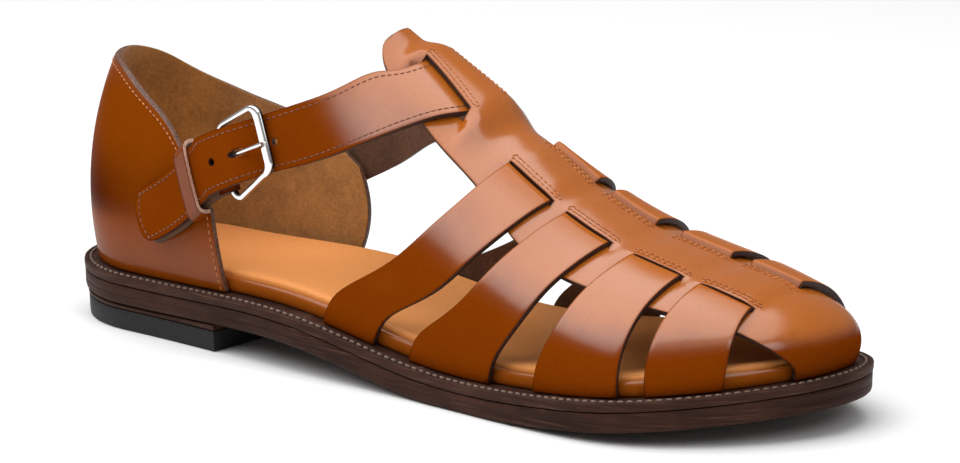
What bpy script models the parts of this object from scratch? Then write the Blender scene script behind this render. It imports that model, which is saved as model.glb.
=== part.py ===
"""Fisherman sandal, right shoe, modelled empty and standing on its own sole.

Tables are in millimetres. Along the shoe, 0 is the back of the heel and LENGTH the tip of the toe.
Across it, minus is the outer (buckle) side. Heights start at the floor.
"""
import functools
import math

import bmesh
import bpy
import numpy as np
from mathutils import Matrix, Vector

MM = 0.001

# Driving sizes
LENGTH = 300.0
FIT_GAP = 0.35
SOLE_THICKNESS = 10.0
WELT_THICKNESS = 3.2
WELT_LEDGE = 5.0
WELT_WIDTH = 14.0
HEEL_ROUND = 37.0
TOE_ROUND = 59.5
TOE_POWER = 2.1
BREAST = 80.0
TOP_PIECE = 6.8
LEATHER = 1.9
OVERLAP = 1.6
QUARTER_WALL = 2.1
BACK_HEIGHT = 89.0
INSOLE_RISE = 7.0
RAND_INSET = 7.5
RAND_WIDTH = 2.1
SLIT = 1.2
STRAP_WALL = 2.0
TAIL_ROUND = 6.0
TAIL_TAPER = 0.36

# The sole from heel to toe: middle of its width, half of its width, height of the welt's upper face
SOLE = {
    "along": (0, 60, 120, 170, 215, 255, 300),
    "middle": (1.0, 0.0, -3.7, -2.0, 2.5, 3.1, 13.4),
    "half_width": (33.7, 35.3, 38.0, 42.2, 51.0, 50.8, 43.9),
    "welt_top": (19.7, 19.0, 18.6, 10.6, 10.6, 14.2, 19.4),
}

# Sections of the last over the instep: its crest, and how each side rises, leans out and rounds over
LAST = {
    "along": (90, 110, 124, 150, 170, 188, 211, 238, 264, 280),
    "crest_across": (10, 10, 10, 10, 9, 7.5, 7, 8, 9, 10),
    "crest_height": (126, 114.5, 106.3, 92.5, 81.5, 71.3, 58.8, 50.2, 44.6, 40.5),
    "rise": (0.45, 0.45, 0.46, 0.50, 0.54, 0.56, 0.58, 0.60, 0.60, 0.60),
    "lean_outer": (2, 3, 4, 5, 5, 5, 5, 4, 3.5, 3),
    "lean_inner": (2, 2, 2, 1, 1, 2, 3, 3, 3, 3),
    "crown_outer": (0.50, 0.52, 0.56, 0.54, 0.52, 0.52, 0.56, 0.58, 0.60, 0.60),
    "crown_inner": (0.52, 0.54, 0.58, 0.56, 0.56, 0.57, 0.61, 0.64, 0.66, 0.66),
}
LAST_END = LAST["along"][-1]
TOE_CAP_FALL = 0.35

# The centre piece, from the tip of the T to the toe cap, as girths from the crest of the last
CENTRE = {
    "along": (124, 138, 158, 178, 196, 226, 256, 278),
    "slit_outer": (-6.5, -7.5, -11.8, -15.0, -15.5, -16.8, -18.0, -17.0),
    "slit_inner": (6.0, 6.0, 5.5, 5.5, 5.5, 5.2, 6.0, 6.5),
    "edge_outer": (-17.0, -22.0, -28.0, -30.5, -35.5, -38.0, -35.7, -28.5),
    "edge_inner": (16.5, 20.0, 21.5, 22.0, 25.0, 26.5, 23.5, 17.0),
}

# The four side straps: where each one starts and ends at the welt and at its slit
STRAPS = (
    {"foot": (128, 150), "slit": (181, 199)},
    {"foot": (165, 200), "slit": (205, 223)},
    {"foot": (219, 251), "slit": (232, 251)},
    {"foot": (259, 278), "slit": (258, 276)},
)
# How a strap swings from its place at the slit to its place at the welt, over the girth between them
STRAP_SWING = ((0, 0.2, 0.42, 0.6, 0.75, 0.87, 1), (0, 0.09, 0.27, 0.48, 0.72, 0.90, 1))
CENTRE_LIFT = 0.9
CAP_FOOT = 290.8
CAP_TOP = 278.5
CAP_SWING = 2.7
TOE_BULGE = 3.4
TOE_BULGE_HEIGHT = 24.0

# The tip of the T: how far along each cut edge lies, and how much of its width it has there
T_TIP = ((124.0, 0.62), (125.0, 0.80), (127.5, 0.94), (131.0, 1.0))
T_SLIT = (137.5, 160.5)
T_SLIT_WIDTH = 3.6
T_RAISE = 3.8
T_RISE = 6.0
T_FALL = 12.0

# The quarter round the heel, from its outer front edge (-1) to its inner front edge (+1)
QUARTER = {
    "turn": (-1.0, -0.9, -0.8, -0.65, -0.5, -0.25, 0.0, 0.12, 0.25, 0.37, 0.5, 0.65, 0.75, 0.9, 1.0),
    "top": (47, 60, 70.5, 79, 85.3, 88.3, 88.6, 87, 83.5, 78.5, 74, 70.3, 68, 61, 52),
}
QUARTER_FRONT = {"outer": (83.0, 78.0), "inner": (87.2, 86.6)}
QUARTER_FRONT_FROM = 19.0
QUARTER_FRONT_RISE = 30.0
INNER_FRONT_BOW = 4.0
INNER_FRONT_RISE = 34.0
QUARTER_BULGE = 3.6
QUARTER_LEAN = 6.8

# The ankle strap's inner face, from its tail past the buckle to the T: upper edge, then lower edge
OUTER_RUN = (
    ((46.0, -33.0, 48.5), (51.0, -33.2, 32.0)),
    ((55.3, -33.6, 54.0), (60.2, -34.2, 36.4)),
    ((65.0, -33.9, 60.5), (71.5, -35.0, 43.6)),
    ((73.6, -34.2, 68.5), (80.0, -35.2, 51.0)),
    ((88.2, -34.6, 76.2), (94.8, -35.6, 58.6)),
    ((102.3, -34.6, 82.0), (107.8, -35.6, 64.2)),
    ((112.5, -30.8, 86.0), (119.0, -32.9, 67.8)),
    ((122.5, -21.8, 90.6), (134.0, -26.4, 74.2)),
    ((130.5, -11.2, 95.2), (147.5, -15.8, 80.8)),
)
INNER_RUN = (
    ((131.0, 24.0, 95.0), (147.5, 23.5, 80.5)),
    ((122.0, 29.0, 88.5), (134.0, 28.2, 72.0)),
    ((108.0, 32.0, 80.5), (117.0, 31.6, 63.8)),
    ((94.0, 33.3, 73.0), (103.0, 34.0, 55.5)),
    ((80.0, 33.3, 65.5), (89.0, 35.0, 48.0)),
    ((66.0, 33.0, 58.5), (74.0, 34.8, 40.5)),
)

# The strap through the T: share of the way to a slit's inner edge, girth beyond it, lift off the
# last, and where its upper and lower edges lie along the shoe
T_PASS = (
    (-1.0, -9.5, 0.9, 135.8, 155.2),
    (-1.0, -4.8, 0.6, 137.8, 158.2),
    (-1.0, 0.8, -0.8, 138.0, 160.0),
    (-0.2, 0.0, -0.9, 138.0, 160.0),
    (0.4, 0.0, -0.9, 138.0, 160.0),
    (1.0, -0.8, -0.8, 138.0, 160.0),
    (1.0, 4.8, 0.9, 138.0, 160.0),
    (1.0, 8.5, 1.1, 138.0, 160.0),
    (1.0, 12.0, 1.3, 137.0, 158.0),
)

# Lift of the ankle strap off that face, at distances along it from the tail's end
STRAP_LIFT = ((0, 1.9), (26, 1.9), (34, 2.2), (42, 5.9), (52, 5.9), (63, 0.9), (74, 0.2), (86, 0.0))
PIVOT_AT = 47.5
FRAME_REACH = 19.0
FRAME_WIDTH = 21.6
FRAME_CORNER = 3.6
WIRE = 1.0
PRONG_WIRE = 0.75
CHAPE = 1.0
OUTER_BAR = 1.5
BAR_SECTION = (
    (0.0, -0.5), (0.0, 0.5), (0.5, 1.0), (1.5, 1.0),
    (2.0, 0.5), (2.0, -0.5), (1.5, -1.0), (0.5, -1.0),
)
KEEPER_AT = 29.5
KEEPER_WIDTH = 5.5
KEEPER_WALL = 1.2
HOLES_AT = (46.0, 69.0)
HOLE = 1.5
PRONG_HOLE_AT = 55.8
PRONG_HOLE = (4.0, 1.35)


def curve(along, values):
    """A natural cubic curve through the points of a table, as a function."""
    x = np.array(along, float)
    y = np.array(values, float)
    step = np.diff(x)
    size = len(x)
    matrix = np.eye(size)
    right = np.zeros(size)
    for i in range(1, size - 1):
        matrix[i, i - 1:i + 2] = (step[i - 1], 2 * (step[i - 1] + step[i]), step[i])
        right[i] = 6 * ((y[i + 1] - y[i]) / step[i] - (y[i] - y[i - 1]) / step[i - 1])
    bend = np.linalg.solve(matrix, right)

    def at(value):
        value = np.clip(value, x[0], x[-1])
        i = int(np.clip(np.searchsorted(x, value) - 1, 0, size - 2))
        a = (x[i + 1] - value) / step[i]
        b = (value - x[i]) / step[i]
        cubic = ((a ** 3 - a) * bend[i] + (b ** 3 - b) * bend[i + 1]) * step[i] ** 2 / 6
        return float(a * y[i] + b * y[i + 1] + cubic)
    return at


def table_curves(table):
    """One curve for each column of a table, along its first column."""
    keys = list(table)
    return {key: curve(table[keys[0]], table[key]) for key in keys[1:]}


sole = table_curves(SOLE)
last = table_curves(LAST)
centre = table_curves(CENTRE)
quarter_top = curve(QUARTER["turn"], QUARTER["top"])
swing = curve(*STRAP_SWING)


def smooth(value, start, end):
    """An even rise from 0 at the start to 1 at the end."""
    f = min(max((value - start) / (end - start), 0.0), 1.0)
    return f * f * (3 - 2 * f)


def plan(x, side, inset):
    """The sole's outline moved in by an inset: its place across, on side -1 or +1."""
    heel = min(max(1 - (x - inset) / (HEEL_ROUND - inset), 0.0), 1.0)
    toe = min(max(1 - (LENGTH - inset - x) / (TOE_ROUND - inset), 0.0), 1.0)
    rounding = math.sqrt(1 - heel ** 2) * (1 - toe ** TOE_POWER) ** (1 / TOE_POWER)
    return sole["middle"](x) + side * (sole["half_width"](x) - inset) * rounding


def welt_top(x):
    return sole["welt_top"](x)


def sole_bottom(x):
    """The outsole's lower face: on the floor under the ball, sprung at the toe, arched at the waist."""
    return max(welt_top(x) - SOLE_THICKNESS, 0.0)


def section(x, t):
    """A point of the last, at t from the outer feather line (-1) over the crest (0) to the inner (+1)."""
    end = LENGTH - WELT_LEDGE
    side = -1 if t < 0 else 1
    low = welt_top(x) + FIT_GAP
    top = last["crest_height"](x)
    across = last["crest_across"](x)
    if x > LAST_END:
        v = min((x - LAST_END) / (end - LAST_END), 1.0)
        full = top - (x - LAST_END) * TOE_CAP_FALL - low
        top = low + full * (1 - v ** 2.6) ** (1 / 2.2)
        across += (x - LAST_END) * 0.1
    foot = plan(x, side, WELT_LEDGE)
    if x > LENGTH - 12:
        f = smooth(x, LENGTH - 12, end)
        across = across * (1 - f) + sole["middle"](x) * f
    lean = last["lean_outer" if side < 0 else "lean_inner"](x) * min((end - min(x, end)) / 20, 1.0)
    height = top - low
    width = abs(across - foot)
    s = 1 - abs(t)
    weights = ((1 - s) ** 3, 3 * (1 - s) ** 2 * s, 3 * (1 - s) * s * s, s ** 3)
    crown = last["crown_outer" if side < 0 else "crown_inner"](x)
    y_points = (foot, foot + side * lean, across + side * crown * width, across)
    z_points = (low, low + last["rise"](x) * height, top, top)
    y = sum(w * p for w, p in zip(weights, y_points))
    z = sum(w * p for w, p in zip(weights, z_points))
    swell = math.sin(math.pi * min((z - low) / TOE_BULGE_HEIGHT, 1.0)) * smooth(x, 255, end)
    return (x + TOE_BULGE * swell, y, z)


GIRTH_STEPS = np.linspace(-1, 1, 81)


@functools.lru_cache(maxsize=None)
def girths_at(x):
    """Girths from the crest along a section, minus on the outer side."""
    points = np.array([section(x, t) for t in GIRTH_STEPS])
    length = np.concatenate(([0], np.cumsum(np.linalg.norm(np.diff(points, axis=0), axis=1))))
    return length - length[len(GIRTH_STEPS) // 2]


def t_at(x, girth):
    """The place on a section that lies at a girth from the crest."""
    return float(np.interp(girth, girths_at(x), GIRTH_STEPS))


def girth_of_side(x, side):
    """The girth of a section from its crest to the welt on one side."""
    return abs(float(girths_at(x)[0 if side == "outer" else -1]))


def on_last(x, t, lift):
    """A point lifted off the last along its normal."""
    ahead = np.array(section(min(x + 0.5, LENGTH - WELT_LEDGE), t)) - np.array(section(x - 0.5, t))
    over = np.array(section(x, min(t + 0.01, 1.0))) - np.array(section(x, max(t - 0.01, -1.0)))
    normal = np.cross(ahead, over)
    size = np.linalg.norm(normal)
    normal = np.array((1.0, 0.0, 0.0)) if size < 1e-6 else normal / size
    return tuple(np.array(section(x, t)) + normal * lift)


def wall(turn, z, inset_from_outer):
    """A point of the heel's wall at a turn from -1 (outer front) over 0 (back) to +1 (inner front)."""
    side = -1 if turn < 0 else 1
    low_front, high_front = QUARTER_FRONT["outer" if side < 0 else "inner"]
    f = (z - QUARTER_FRONT_FROM) / QUARTER_FRONT_RISE
    front = low_front + (high_front - low_front) * min(max(f, 0.0), 1.0)
    if side > 0:
        f = (z - QUARTER_FRONT_FROM) / INNER_FRONT_RISE
        front += INNER_FRONT_BOW * math.sin(math.pi * min(max(f, 0.0), 1.0))
    heel_top = SOLE["welt_top"][0]
    v = (z - heel_top) / (BACK_HEIGHT - heel_top)
    swell = QUARTER_BULGE * 4 * v * (1 - v) - QUARTER_LEAN * max(v, 0.0) ** 2.1
    inset = WELT_LEDGE - swell + inset_from_outer
    x = inset + (front - inset) * (1 - math.cos(math.pi * abs(turn) / 2))
    return (x, plan(x, side, inset), z)


def place(point):
    """From the tables' millimetres to metres around the middle of the part's box."""
    return Vector(((point[0] - MIDDLE_X) * MM, (point[1] - MIDDLE_Y) * MM, point[2] * MM))


EDGE = [LENGTH * i / 200 for i in range(201)]
MIDDLE_X = LENGTH / 2
MIDDLE_Y = (min(plan(x, -1, 0) for x in EDGE) + max(plan(x, 1, 0) for x in EDGE)) / 2


def clear_scene():
    for thing in list(bpy.data.objects):
        bpy.data.objects.remove(thing, do_unlink=True)


def collection(name):
    group = bpy.data.collections.new(name)
    bpy.context.scene.collection.children.link(group)
    return group


def material(name, color, roughness, metallic=0.0):
    paint = bpy.data.materials.new(name)
    paint.use_nodes = True
    shader = paint.node_tree.nodes["Principled BSDF"]
    shader.inputs["Base Color"].default_value = (*color, 1.0)
    shader.inputs["Roughness"].default_value = roughness
    shader.inputs["Metallic"].default_value = metallic
    return paint


def add_object(name, mesh, paint, group, sharp=35):
    body = bpy.data.objects.new(name, mesh)
    group.objects.link(body)
    mesh.materials.clear()
    mesh.materials.append(paint)
    mesh.shade_smooth()
    mesh.set_sharp_from_angle(angle=math.radians(sharp))
    return body


def mesh_from(name, points, faces):
    """A mesh of placed points, with its normals turned outwards."""
    mesh = bpy.data.meshes.new(name)
    mesh.from_pydata([place(p) for p in points], [], faces)
    edit = bmesh.new()
    edit.from_mesh(mesh)
    bmesh.ops.recalc_face_normals(edit, faces=edit.faces)
    edit.to_mesh(mesh)
    edit.free()
    return mesh


SOLE_STATIONS = 34


def sole_loop(inset, height, end=None):
    """A loop round the sole at an inset: outer side from the back, then inner side, back to front."""
    stop = LENGTH - inset if end is None else end
    outer = []
    inner = []
    for i in range(SOLE_STATIONS + 1):
        f = i / SOLE_STATIONS
        if end is None:
            x = inset + (stop - inset) * (1 - math.cos(math.pi * f)) / 2
        else:
            x = inset + (stop - inset) * (1 - math.cos(math.pi * f / 2))
        outer.append((x, plan(x, -1, inset), height(x)))
        inner.append((x, plan(x, 1, inset), height(x)))
    tail = inner[1:] if end is not None else inner[1:-1]
    return outer + tail[::-1]


def ladder(first, count, flip):
    """Faces across a loop made by sole_loop, which has count points from index first."""
    faces = []
    outer_count = SOLE_STATIONS + 1
    for i in range(SOLE_STATIONS):
        a = first + i
        b = first + i + 1
        c = first + (count - i - 1 if i + 1 < outer_count else 0)
        d = first + (count - i) % count
        face = []
        for corner in (a, b, c, d):
            if corner not in face:
                face.append(corner)
        if len(face) > 2:
            faces.append(face[::-1] if flip else face)
    return faces


def loop_solid(loops):
    """A solid through loops of the sole, closed by a ladder of faces at its first and last loop."""
    count = len(loops[0])
    points = [p for loop in loops for p in loop]
    faces = []
    for k in range(len(loops) - 1):
        for i in range(count):
            j = (i + 1) % count
            faces.append((k * count + i, k * count + j, (k + 1) * count + j, (k + 1) * count + i))
    faces += ladder(0, count, True)
    faces += ladder((len(loops) - 1) * count, count, False)
    return points, faces


def loop_ring(loops):
    """A ring through loops of the sole, joined back to the first of them."""
    count = len(loops[0])
    points = [p for loop in loops for p in loop]
    faces = []
    for k in range(len(loops)):
        n = (k + 1) % len(loops)
        for i in range(count):
            j = (i + 1) % count
            faces.append((k * count + i, k * count + j, n * count + j, n * count + i))
    return points, faces


def above(height, extra):
    return lambda x: height(x) + extra


def level(z):
    return lambda x: z


def build_sole(group):
    """Outsole, welt, and the heel's leather lift and rubber top piece."""
    leather = material("sole_leather", (0.052, 0.026, 0.018), 0.5)
    under_welt = above(welt_top, -WELT_THICKNESS - FIT_GAP)
    loops = [
        sole_loop(1.6, sole_bottom),
        sole_loop(0.5, above(sole_bottom, 1.2)),
        sole_loop(0.4, above(welt_top, -WELT_THICKNESS - 1.0)),
        sole_loop(1.0, under_welt),
    ]
    points, faces = loop_solid(loops)
    add_object("outsole", mesh_from("outsole", points, faces), leather, group)

    edge = material("welt_leather", (0.075, 0.038, 0.025), 0.55)
    loops = [
        sole_loop(0.8, above(welt_top, -WELT_THICKNESS)),
        sole_loop(0.1, above(welt_top, -WELT_THICKNESS * 0.7)),
        sole_loop(0.0, above(welt_top, -0.6)),
        sole_loop(0.6, welt_top),
        sole_loop(WELT_WIDTH, welt_top),
        sole_loop(WELT_WIDTH, above(welt_top, -WELT_THICKNESS)),
    ]
    points, faces = loop_ring(loops)
    add_object("welt", mesh_from("welt", points, faces), edge, group)

    lift = [
        sole_loop(1.6, level(TOP_PIECE + FIT_GAP), BREAST),
        sole_loop(1.4, above(sole_bottom, -FIT_GAP), BREAST),
    ]
    points, faces = loop_solid(lift)
    add_object("heel_lift", mesh_from("heel_lift", points, faces), leather, group)

    rubber = material("heel_rubber", (0.022, 0.021, 0.021), 0.6)
    top_piece = [
        sole_loop(2.6, level(0.0), BREAST - 0.6),
        sole_loop(1.9, level(0.7), BREAST),
        sole_loop(1.6, level(TOP_PIECE), BREAST),
    ]
    points, faces = loop_solid(top_piece)
    add_object("heel_top_piece", mesh_from("heel_top_piece", points, faces), rubber, group)


def build_insole(group):
    """The insole with its smooth sock, standing through the welt, and the rand rolled round its edge."""
    sock = material("insole_sock", (0.66, 0.27, 0.085), 0.45)
    side = RAND_INSET + RAND_WIDTH + FIT_GAP
    loops = [
        sole_loop(WELT_WIDTH + FIT_GAP, above(welt_top, -WELT_THICKNESS)),
        sole_loop(WELT_WIDTH + FIT_GAP, above(welt_top, FIT_GAP)),
        sole_loop(side, above(welt_top, FIT_GAP)),
        sole_loop(side, above(welt_top, INSOLE_RISE - 1.4)),
        sole_loop(side - 1.4, above(welt_top, INSOLE_RISE - 1.2)),
        sole_loop(side - 1.2, above(welt_top, INSOLE_RISE)),
    ]
    points, faces = loop_solid(loops)
    add_object("insole", mesh_from("insole", points, faces), sock, group)

    roll = material("rand_leather", (0.48, 0.13, 0.012), 0.4)
    profile = (
        (RAND_INSET + 0.4, FIT_GAP),
        (RAND_INSET, 1.6),
        (RAND_INSET, 3.6),
        (RAND_INSET + 0.7, 5.0),
        (RAND_INSET + RAND_WIDTH, 5.2),
        (RAND_INSET + RAND_WIDTH, FIT_GAP),
    )
    points, faces = loop_ring([sole_loop(inset, above(welt_top, rise)) for inset, rise in profile])
    add_object("rand", mesh_from("rand", points, faces), roll, group)


def sheet(rows, columns, solid, outer, inner):
    """A leather wall over a grid of cells: its faces, and the cut edges round every opening."""
    index = {}
    points = []
    faces = []

    def corner(i, j, level_name):
        surface = outer if level_name == "outer" else inner
        point = surface(i, j)
        key = (level_name,) + tuple(round(c, 4) for c in point)
        if key not in index:
            index[key] = len(points)
            points.append(point)
        return index[key]

    def add(corners):
        face = []
        for c in corners:
            if c not in face:
                face.append(c)
        if len(face) > 2:
            faces.append(face)

    for i in range(columns - 1):
        for j in range(rows - 1):
            if not solid(i, j):
                continue
            ring = ((i, j), (i + 1, j), (i + 1, j + 1), (i, j + 1))
            add([corner(a, b, "outer") for a, b in ring])
            add([corner(a, b, "inner") for a, b in ring[::-1]])
            beside = ((i, j - 1), (i + 1, j), (i, j + 1), (i - 1, j))
            for side in range(4):
                m, n = beside[side]
                if 0 <= m < columns - 1 and 0 <= n < rows - 1 and solid(m, n):
                    continue
                a = ring[side]
                b = ring[(side + 1) % 4]
                add([corner(*b, "outer"), corner(*a, "outer"), corner(*a, "inner"), corner(*b, "inner")])
    return points, faces


def vamp_columns():
    """Lines across the vamp: the place at the slits, the place at the welt, and the band that follows."""
    lines = []
    for x, _ in T_TIP:
        lines.append((x, x, "t"))
    for f in (0.0, 0.33, 0.67, 1.0):
        lines.append((T_SLIT[0] + (T_SLIT[1] - T_SLIT[0]) * f, None, "t_slit" if f < 1 else "t"))
    for x in (T_SLIT[1] + 2.5, T_SLIT[1] + 0.7 * T_FALL):
        lines.append((x, None, "t"))
    step = 0.35
    for number, strap in enumerate(STRAPS):
        (foot_a, foot_b), (slit_a, slit_b) = strap["foot"], strap["slit"]
        lines.append((slit_a - step, foot_a - step, "step"))
        for f in (0.0, 0.25, 0.5, 0.75):
            lines.append((slit_a + (slit_b - slit_a) * f, foot_a + (foot_b - foot_a) * f, "strap"))
        lines.append((slit_b, foot_b, "step"))
        following = STRAPS[number + 1] if number + 1 < len(STRAPS) else None
        lines.append((slit_b + step, foot_b + step, "gap"))
        if following is not None:
            mid_slit = (slit_b + following["slit"][0]) / 2
            mid_foot = (foot_b + following["foot"][0]) / 2
            lines.append((mid_slit, mid_foot, "gap"))
    tip = LENGTH - WELT_LEDGE
    for k in range(7):
        f = math.sin(math.pi / 2 * k / 6)
        lines.append((CAP_TOP + (tip - CAP_TOP) * f, CAP_FOOT + (tip - CAP_FOOT) * f, "cap"))
    return [(top, foot if foot is not None else top, band) for top, foot, band in lines]


ROWS_SIDE = 6
ROWS_MARGIN = 3
ROWS_MIDDLE = 5


def vamp_rows():
    """Lines along the vamp for one side: (from the slit to the welt), as (zone, part of the zone)."""
    rows = [("side", 1 - k / ROWS_SIDE) for k in range(ROWS_SIDE)]
    rows += [("margin", 1 - k / ROWS_MARGIN) for k in range(ROWS_MARGIN)]
    rows += [("lip", 0.0), ("groove", 0.0), ("groove", 1.0)]
    return rows


def t_width(x):
    """How much of its width the T has near its rounded tip."""
    return float(np.interp(x, [p[0] for p in T_TIP], [p[1] for p in T_TIP]))


def build_vamp(group):
    """Toe cap, centre piece with its T, and eight side straps, as one hollow wall with its openings."""
    upper = material("upper_leather", (0.34, 0.092, 0.016), 0.35)
    columns = vamp_columns()
    half = vamp_rows()
    lines = [("outer",) + row for row in half]
    lines += [("middle", "middle", k / ROWS_MIDDLE) for k in range(1, ROWS_MIDDLE)]
    lines += [("inner",) + row for row in half[::-1]]

    def girth(side, zone, part, top):
        sign = -1 if side == "outer" else 1
        slit = abs(centre["slit_" + side](top)) * t_width(top)
        edge = abs(centre["edge_" + side](top)) * t_width(top)
        opening = T_SLIT_WIDTH if top < T_SLIT[1] + T_FALL else SLIT
        if zone == "margin":
            return sign * (slit + opening + 0.5 + (edge - slit - opening - 0.5) * part)
        if zone == "lip":
            return sign * (slit + opening + 0.15)
        return sign * (slit + opening * (1 - part))

    def swung(i, side, reach):
        """The place along the shoe of a column at a girth from the crest."""
        top, foot, band = columns[i]
        start = abs(girth(side, "groove", 0.0, top))
        whole = girth_of_side(foot, side) - start
        return top + (foot - top) * swing((reach - start) / whole)

    def locate(i, j):
        """The place of a grid corner on the last: along the shoe, and round the section.

        All the cap's columns stand at the same places round the section as its first one.
        """
        top, foot, band = columns[i]
        side, zone, part = lines[j]
        base = min(top, CAP_TOP)
        if side == "middle":
            low = t_at(base, girth("outer", "groove", 1.0, base))
            high = t_at(base, girth("inner", "groove", 1.0, base))
            return top, low + (high - low) * part
        reach = girth(side, "margin" if zone == "side" else zone, 1.0 if zone == "side" else part, base)
        rim = -1 if side == "outer" else 1
        if band == "cap" or foot == top:
            edge = t_at(base, reach)
            if zone != "side":
                return top, edge
            return top + (foot - top) * (1 - (1 - part) ** CAP_SWING), edge + (rim - edge) * part
        x = swung(i, side, abs(reach))
        if zone != "side":
            return x, t_at(x, reach)
        whole = girth_of_side(foot, side)
        x = swung(i, side, abs(reach) + (whole - abs(reach)) * part)
        edge = t_at(x, reach)
        return x, edge + (rim - edge) * part

    located = {}

    def at(i, j):
        if (i, j) not in located:
            located[i, j] = locate(i, j)
        return located[i, j]

    def band_of(i):
        return columns[i][2] if 0 <= i < len(columns) else "none"

    def raised(i, j):
        """How far the outer face stands over the centre piece's level."""
        top = columns[i][0]
        side, zone, part = lines[j]
        on_strap = band_of(i) == "strap" or (band_of(i) == "step" and band_of(i - 1) == "strap")
        in_centre = zone == "middle" or (zone == "groove" and part == 1.0)
        rise = smooth(top, T_SLIT[0] - T_RISE, T_SLIT[0])
        hump = T_RAISE * rise * (1 - smooth(top, T_SLIT[1], T_SLIT[1] + T_FALL))
        if top < T_SLIT[1] + T_FALL:
            return hump if in_centre else 0.0
        if on_strap:
            if zone == "side":
                return OVERLAP * (1 - smooth(part, 0.0, 0.7))
            if zone in ("margin", "lip"):
                return OVERLAP
            if zone == "groove":
                return CENTRE_LIFT if part == 1.0 else -0.5
        if in_centre:
            return CENTRE_LIFT * smooth(top, 172, 182) * (1 - smooth(top, 272, 280))
        return 0.0

    def lifted(i, j, lift):
        """A grid corner lifted off the last along its normal, kept level where it meets the welt."""
        x, t = at(i, j)
        if x > LENGTH - WELT_LEDGE - 0.01:
            return (LENGTH - WELT_LEDGE + lift, sole["middle"](x), welt_top(x) + FIT_GAP)
        x, y, z = on_last(x, t, lift)
        if abs(t) > 0.999:
            z = welt_top(x) + FIT_GAP
        return (x, y, z)

    def outer_point(i, j):
        return lifted(i, j, raised(i, j))

    def inner_point(i, j):
        side, zone, part = lines[j]
        lift = raised(i, j)
        if columns[i][0] < T_SLIT[1] + T_FALL:
            return lifted(i, j, lift - LEATHER)
        if zone == "side":
            return lifted(i, j, lift * smooth(part, 0.0, 0.5) - LEATHER)
        return lifted(i, j, -LEATHER)

    def solid(i, j):
        band = band_of(i)
        zones = {lines[j][1], lines[j + 1][1]}
        if band == "t_slit" and zones == {"groove"}:
            return False
        if "side" in zones:
            return band in ("strap", "cap") and (band == "cap" or band_of(i + 1) in ("strap", "step"))
        return True

    points, faces = sheet(len(lines), len(columns), solid, outer_point, inner_point)
    add_object("vamp", mesh_from("vamp", points, faces), upper, group, sharp=50)


def build_quarter(group):
    """The quarter: one wall from the outer front edge round the heel to the inner front edge."""
    upper = material("quarter_leather", (0.30, 0.075, 0.012), 0.35)
    columns = 33
    rows = 7

    def surface(depth):
        def at(i, j):
            turn = -1 + 2 * i / (columns - 1)
            low = wall(turn, 19.0, depth)
            bottom = welt_top(low[0]) + FIT_GAP
            top = quarter_top(turn)
            return wall(turn, bottom + (top - bottom) * j / (rows - 1), depth)
        return at

    points, faces = sheet(rows, columns, lambda i, j: True, surface(0.0), surface(QUARTER_WALL))
    add_object("quarter", mesh_from("quarter", points, faces), upper, group)


def strap_rows():
    """Edges of the ankle strap's inner face, from the tail over the T to the inner quarter."""
    rows = [list(row) for row in OUTER_RUN]
    for share, beyond, lift, upper_x, lower_x in T_PASS:
        edges = []
        for x in (upper_x, lower_x):
            slit = centre["slit_outer" if share < 0 else "slit_inner"](x)
            edges.append(on_last(x, t_at(x, slit * abs(share) + beyond), lift))
        rows.append(edges)
    rows += [list(row) for row in INNER_RUN]
    return rows


class Band:
    """The ankle strap's path: a point at a distance along it, from lower (0) to upper (1) edge, lifted."""

    def __init__(self, rows):
        upper = np.array([row[0] for row in rows], float)
        lower = np.array([row[1] for row in rows], float)
        middle = (upper + lower) / 2
        self.stations = np.concatenate(([0], np.cumsum(np.linalg.norm(np.diff(middle, axis=0), axis=1))))
        self.upper = [curve(self.stations, upper[:, k]) for k in range(3)]
        self.lower = [curve(self.stations, lower[:, k]) for k in range(3)]
        self.length = float(self.stations[-1])

    def base(self, s, w):
        low = np.array([c(s) for c in self.lower])
        high = np.array([c(s) for c in self.upper])
        return low + (high - low) * w

    def axes(self, s):
        """Along, across (lower to upper) and outward at a distance along the strap."""
        along = self.base(s + 0.5, 0.5) - self.base(s - 0.5, 0.5)
        if s > self.length - 0.6:
            along = self.base(s, 0.5) - self.base(s - 1.0, 0.5)
        if s < 0.6:
            along = self.base(s + 1.0, 0.5) - self.base(s, 0.5)
        across = self.base(s, 1.0) - self.base(s, 0.0)
        along /= np.linalg.norm(along)
        across /= np.linalg.norm(across)
        out = np.cross(along, across)
        out /= np.linalg.norm(out)
        return along, across, out

    def at(self, s, w, lift):
        return self.base(s, w) + self.axes(s)[2] * lift


def strip(name, band, profile, low, high, paint, group):
    """A leather strip: a profile of (along, inner lift, outer lift) swept from a low to a high edge."""
    points = []
    faces = []
    for s, inner, outer in profile:
        for w, lift in ((low(s), inner), (high(s), inner), (high(s), outer), (low(s), outer)):
            points.append(tuple(band.at(s, w, lift)))
    count = len(profile)
    for k in range(count - 1):
        for i in range(4):
            j = (i + 1) % 4
            faces.append((4 * k + i, 4 * k + j, 4 * k + 4 + j, 4 * k + 4 + i))
    faces.append((0, 1, 2, 3))
    last_ring = 4 * (count - 1)
    faces.append((last_ring + 3, last_ring + 2, last_ring + 1, last_ring))
    return add_object(name, mesh_from(name, points, faces), paint, group)


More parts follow.
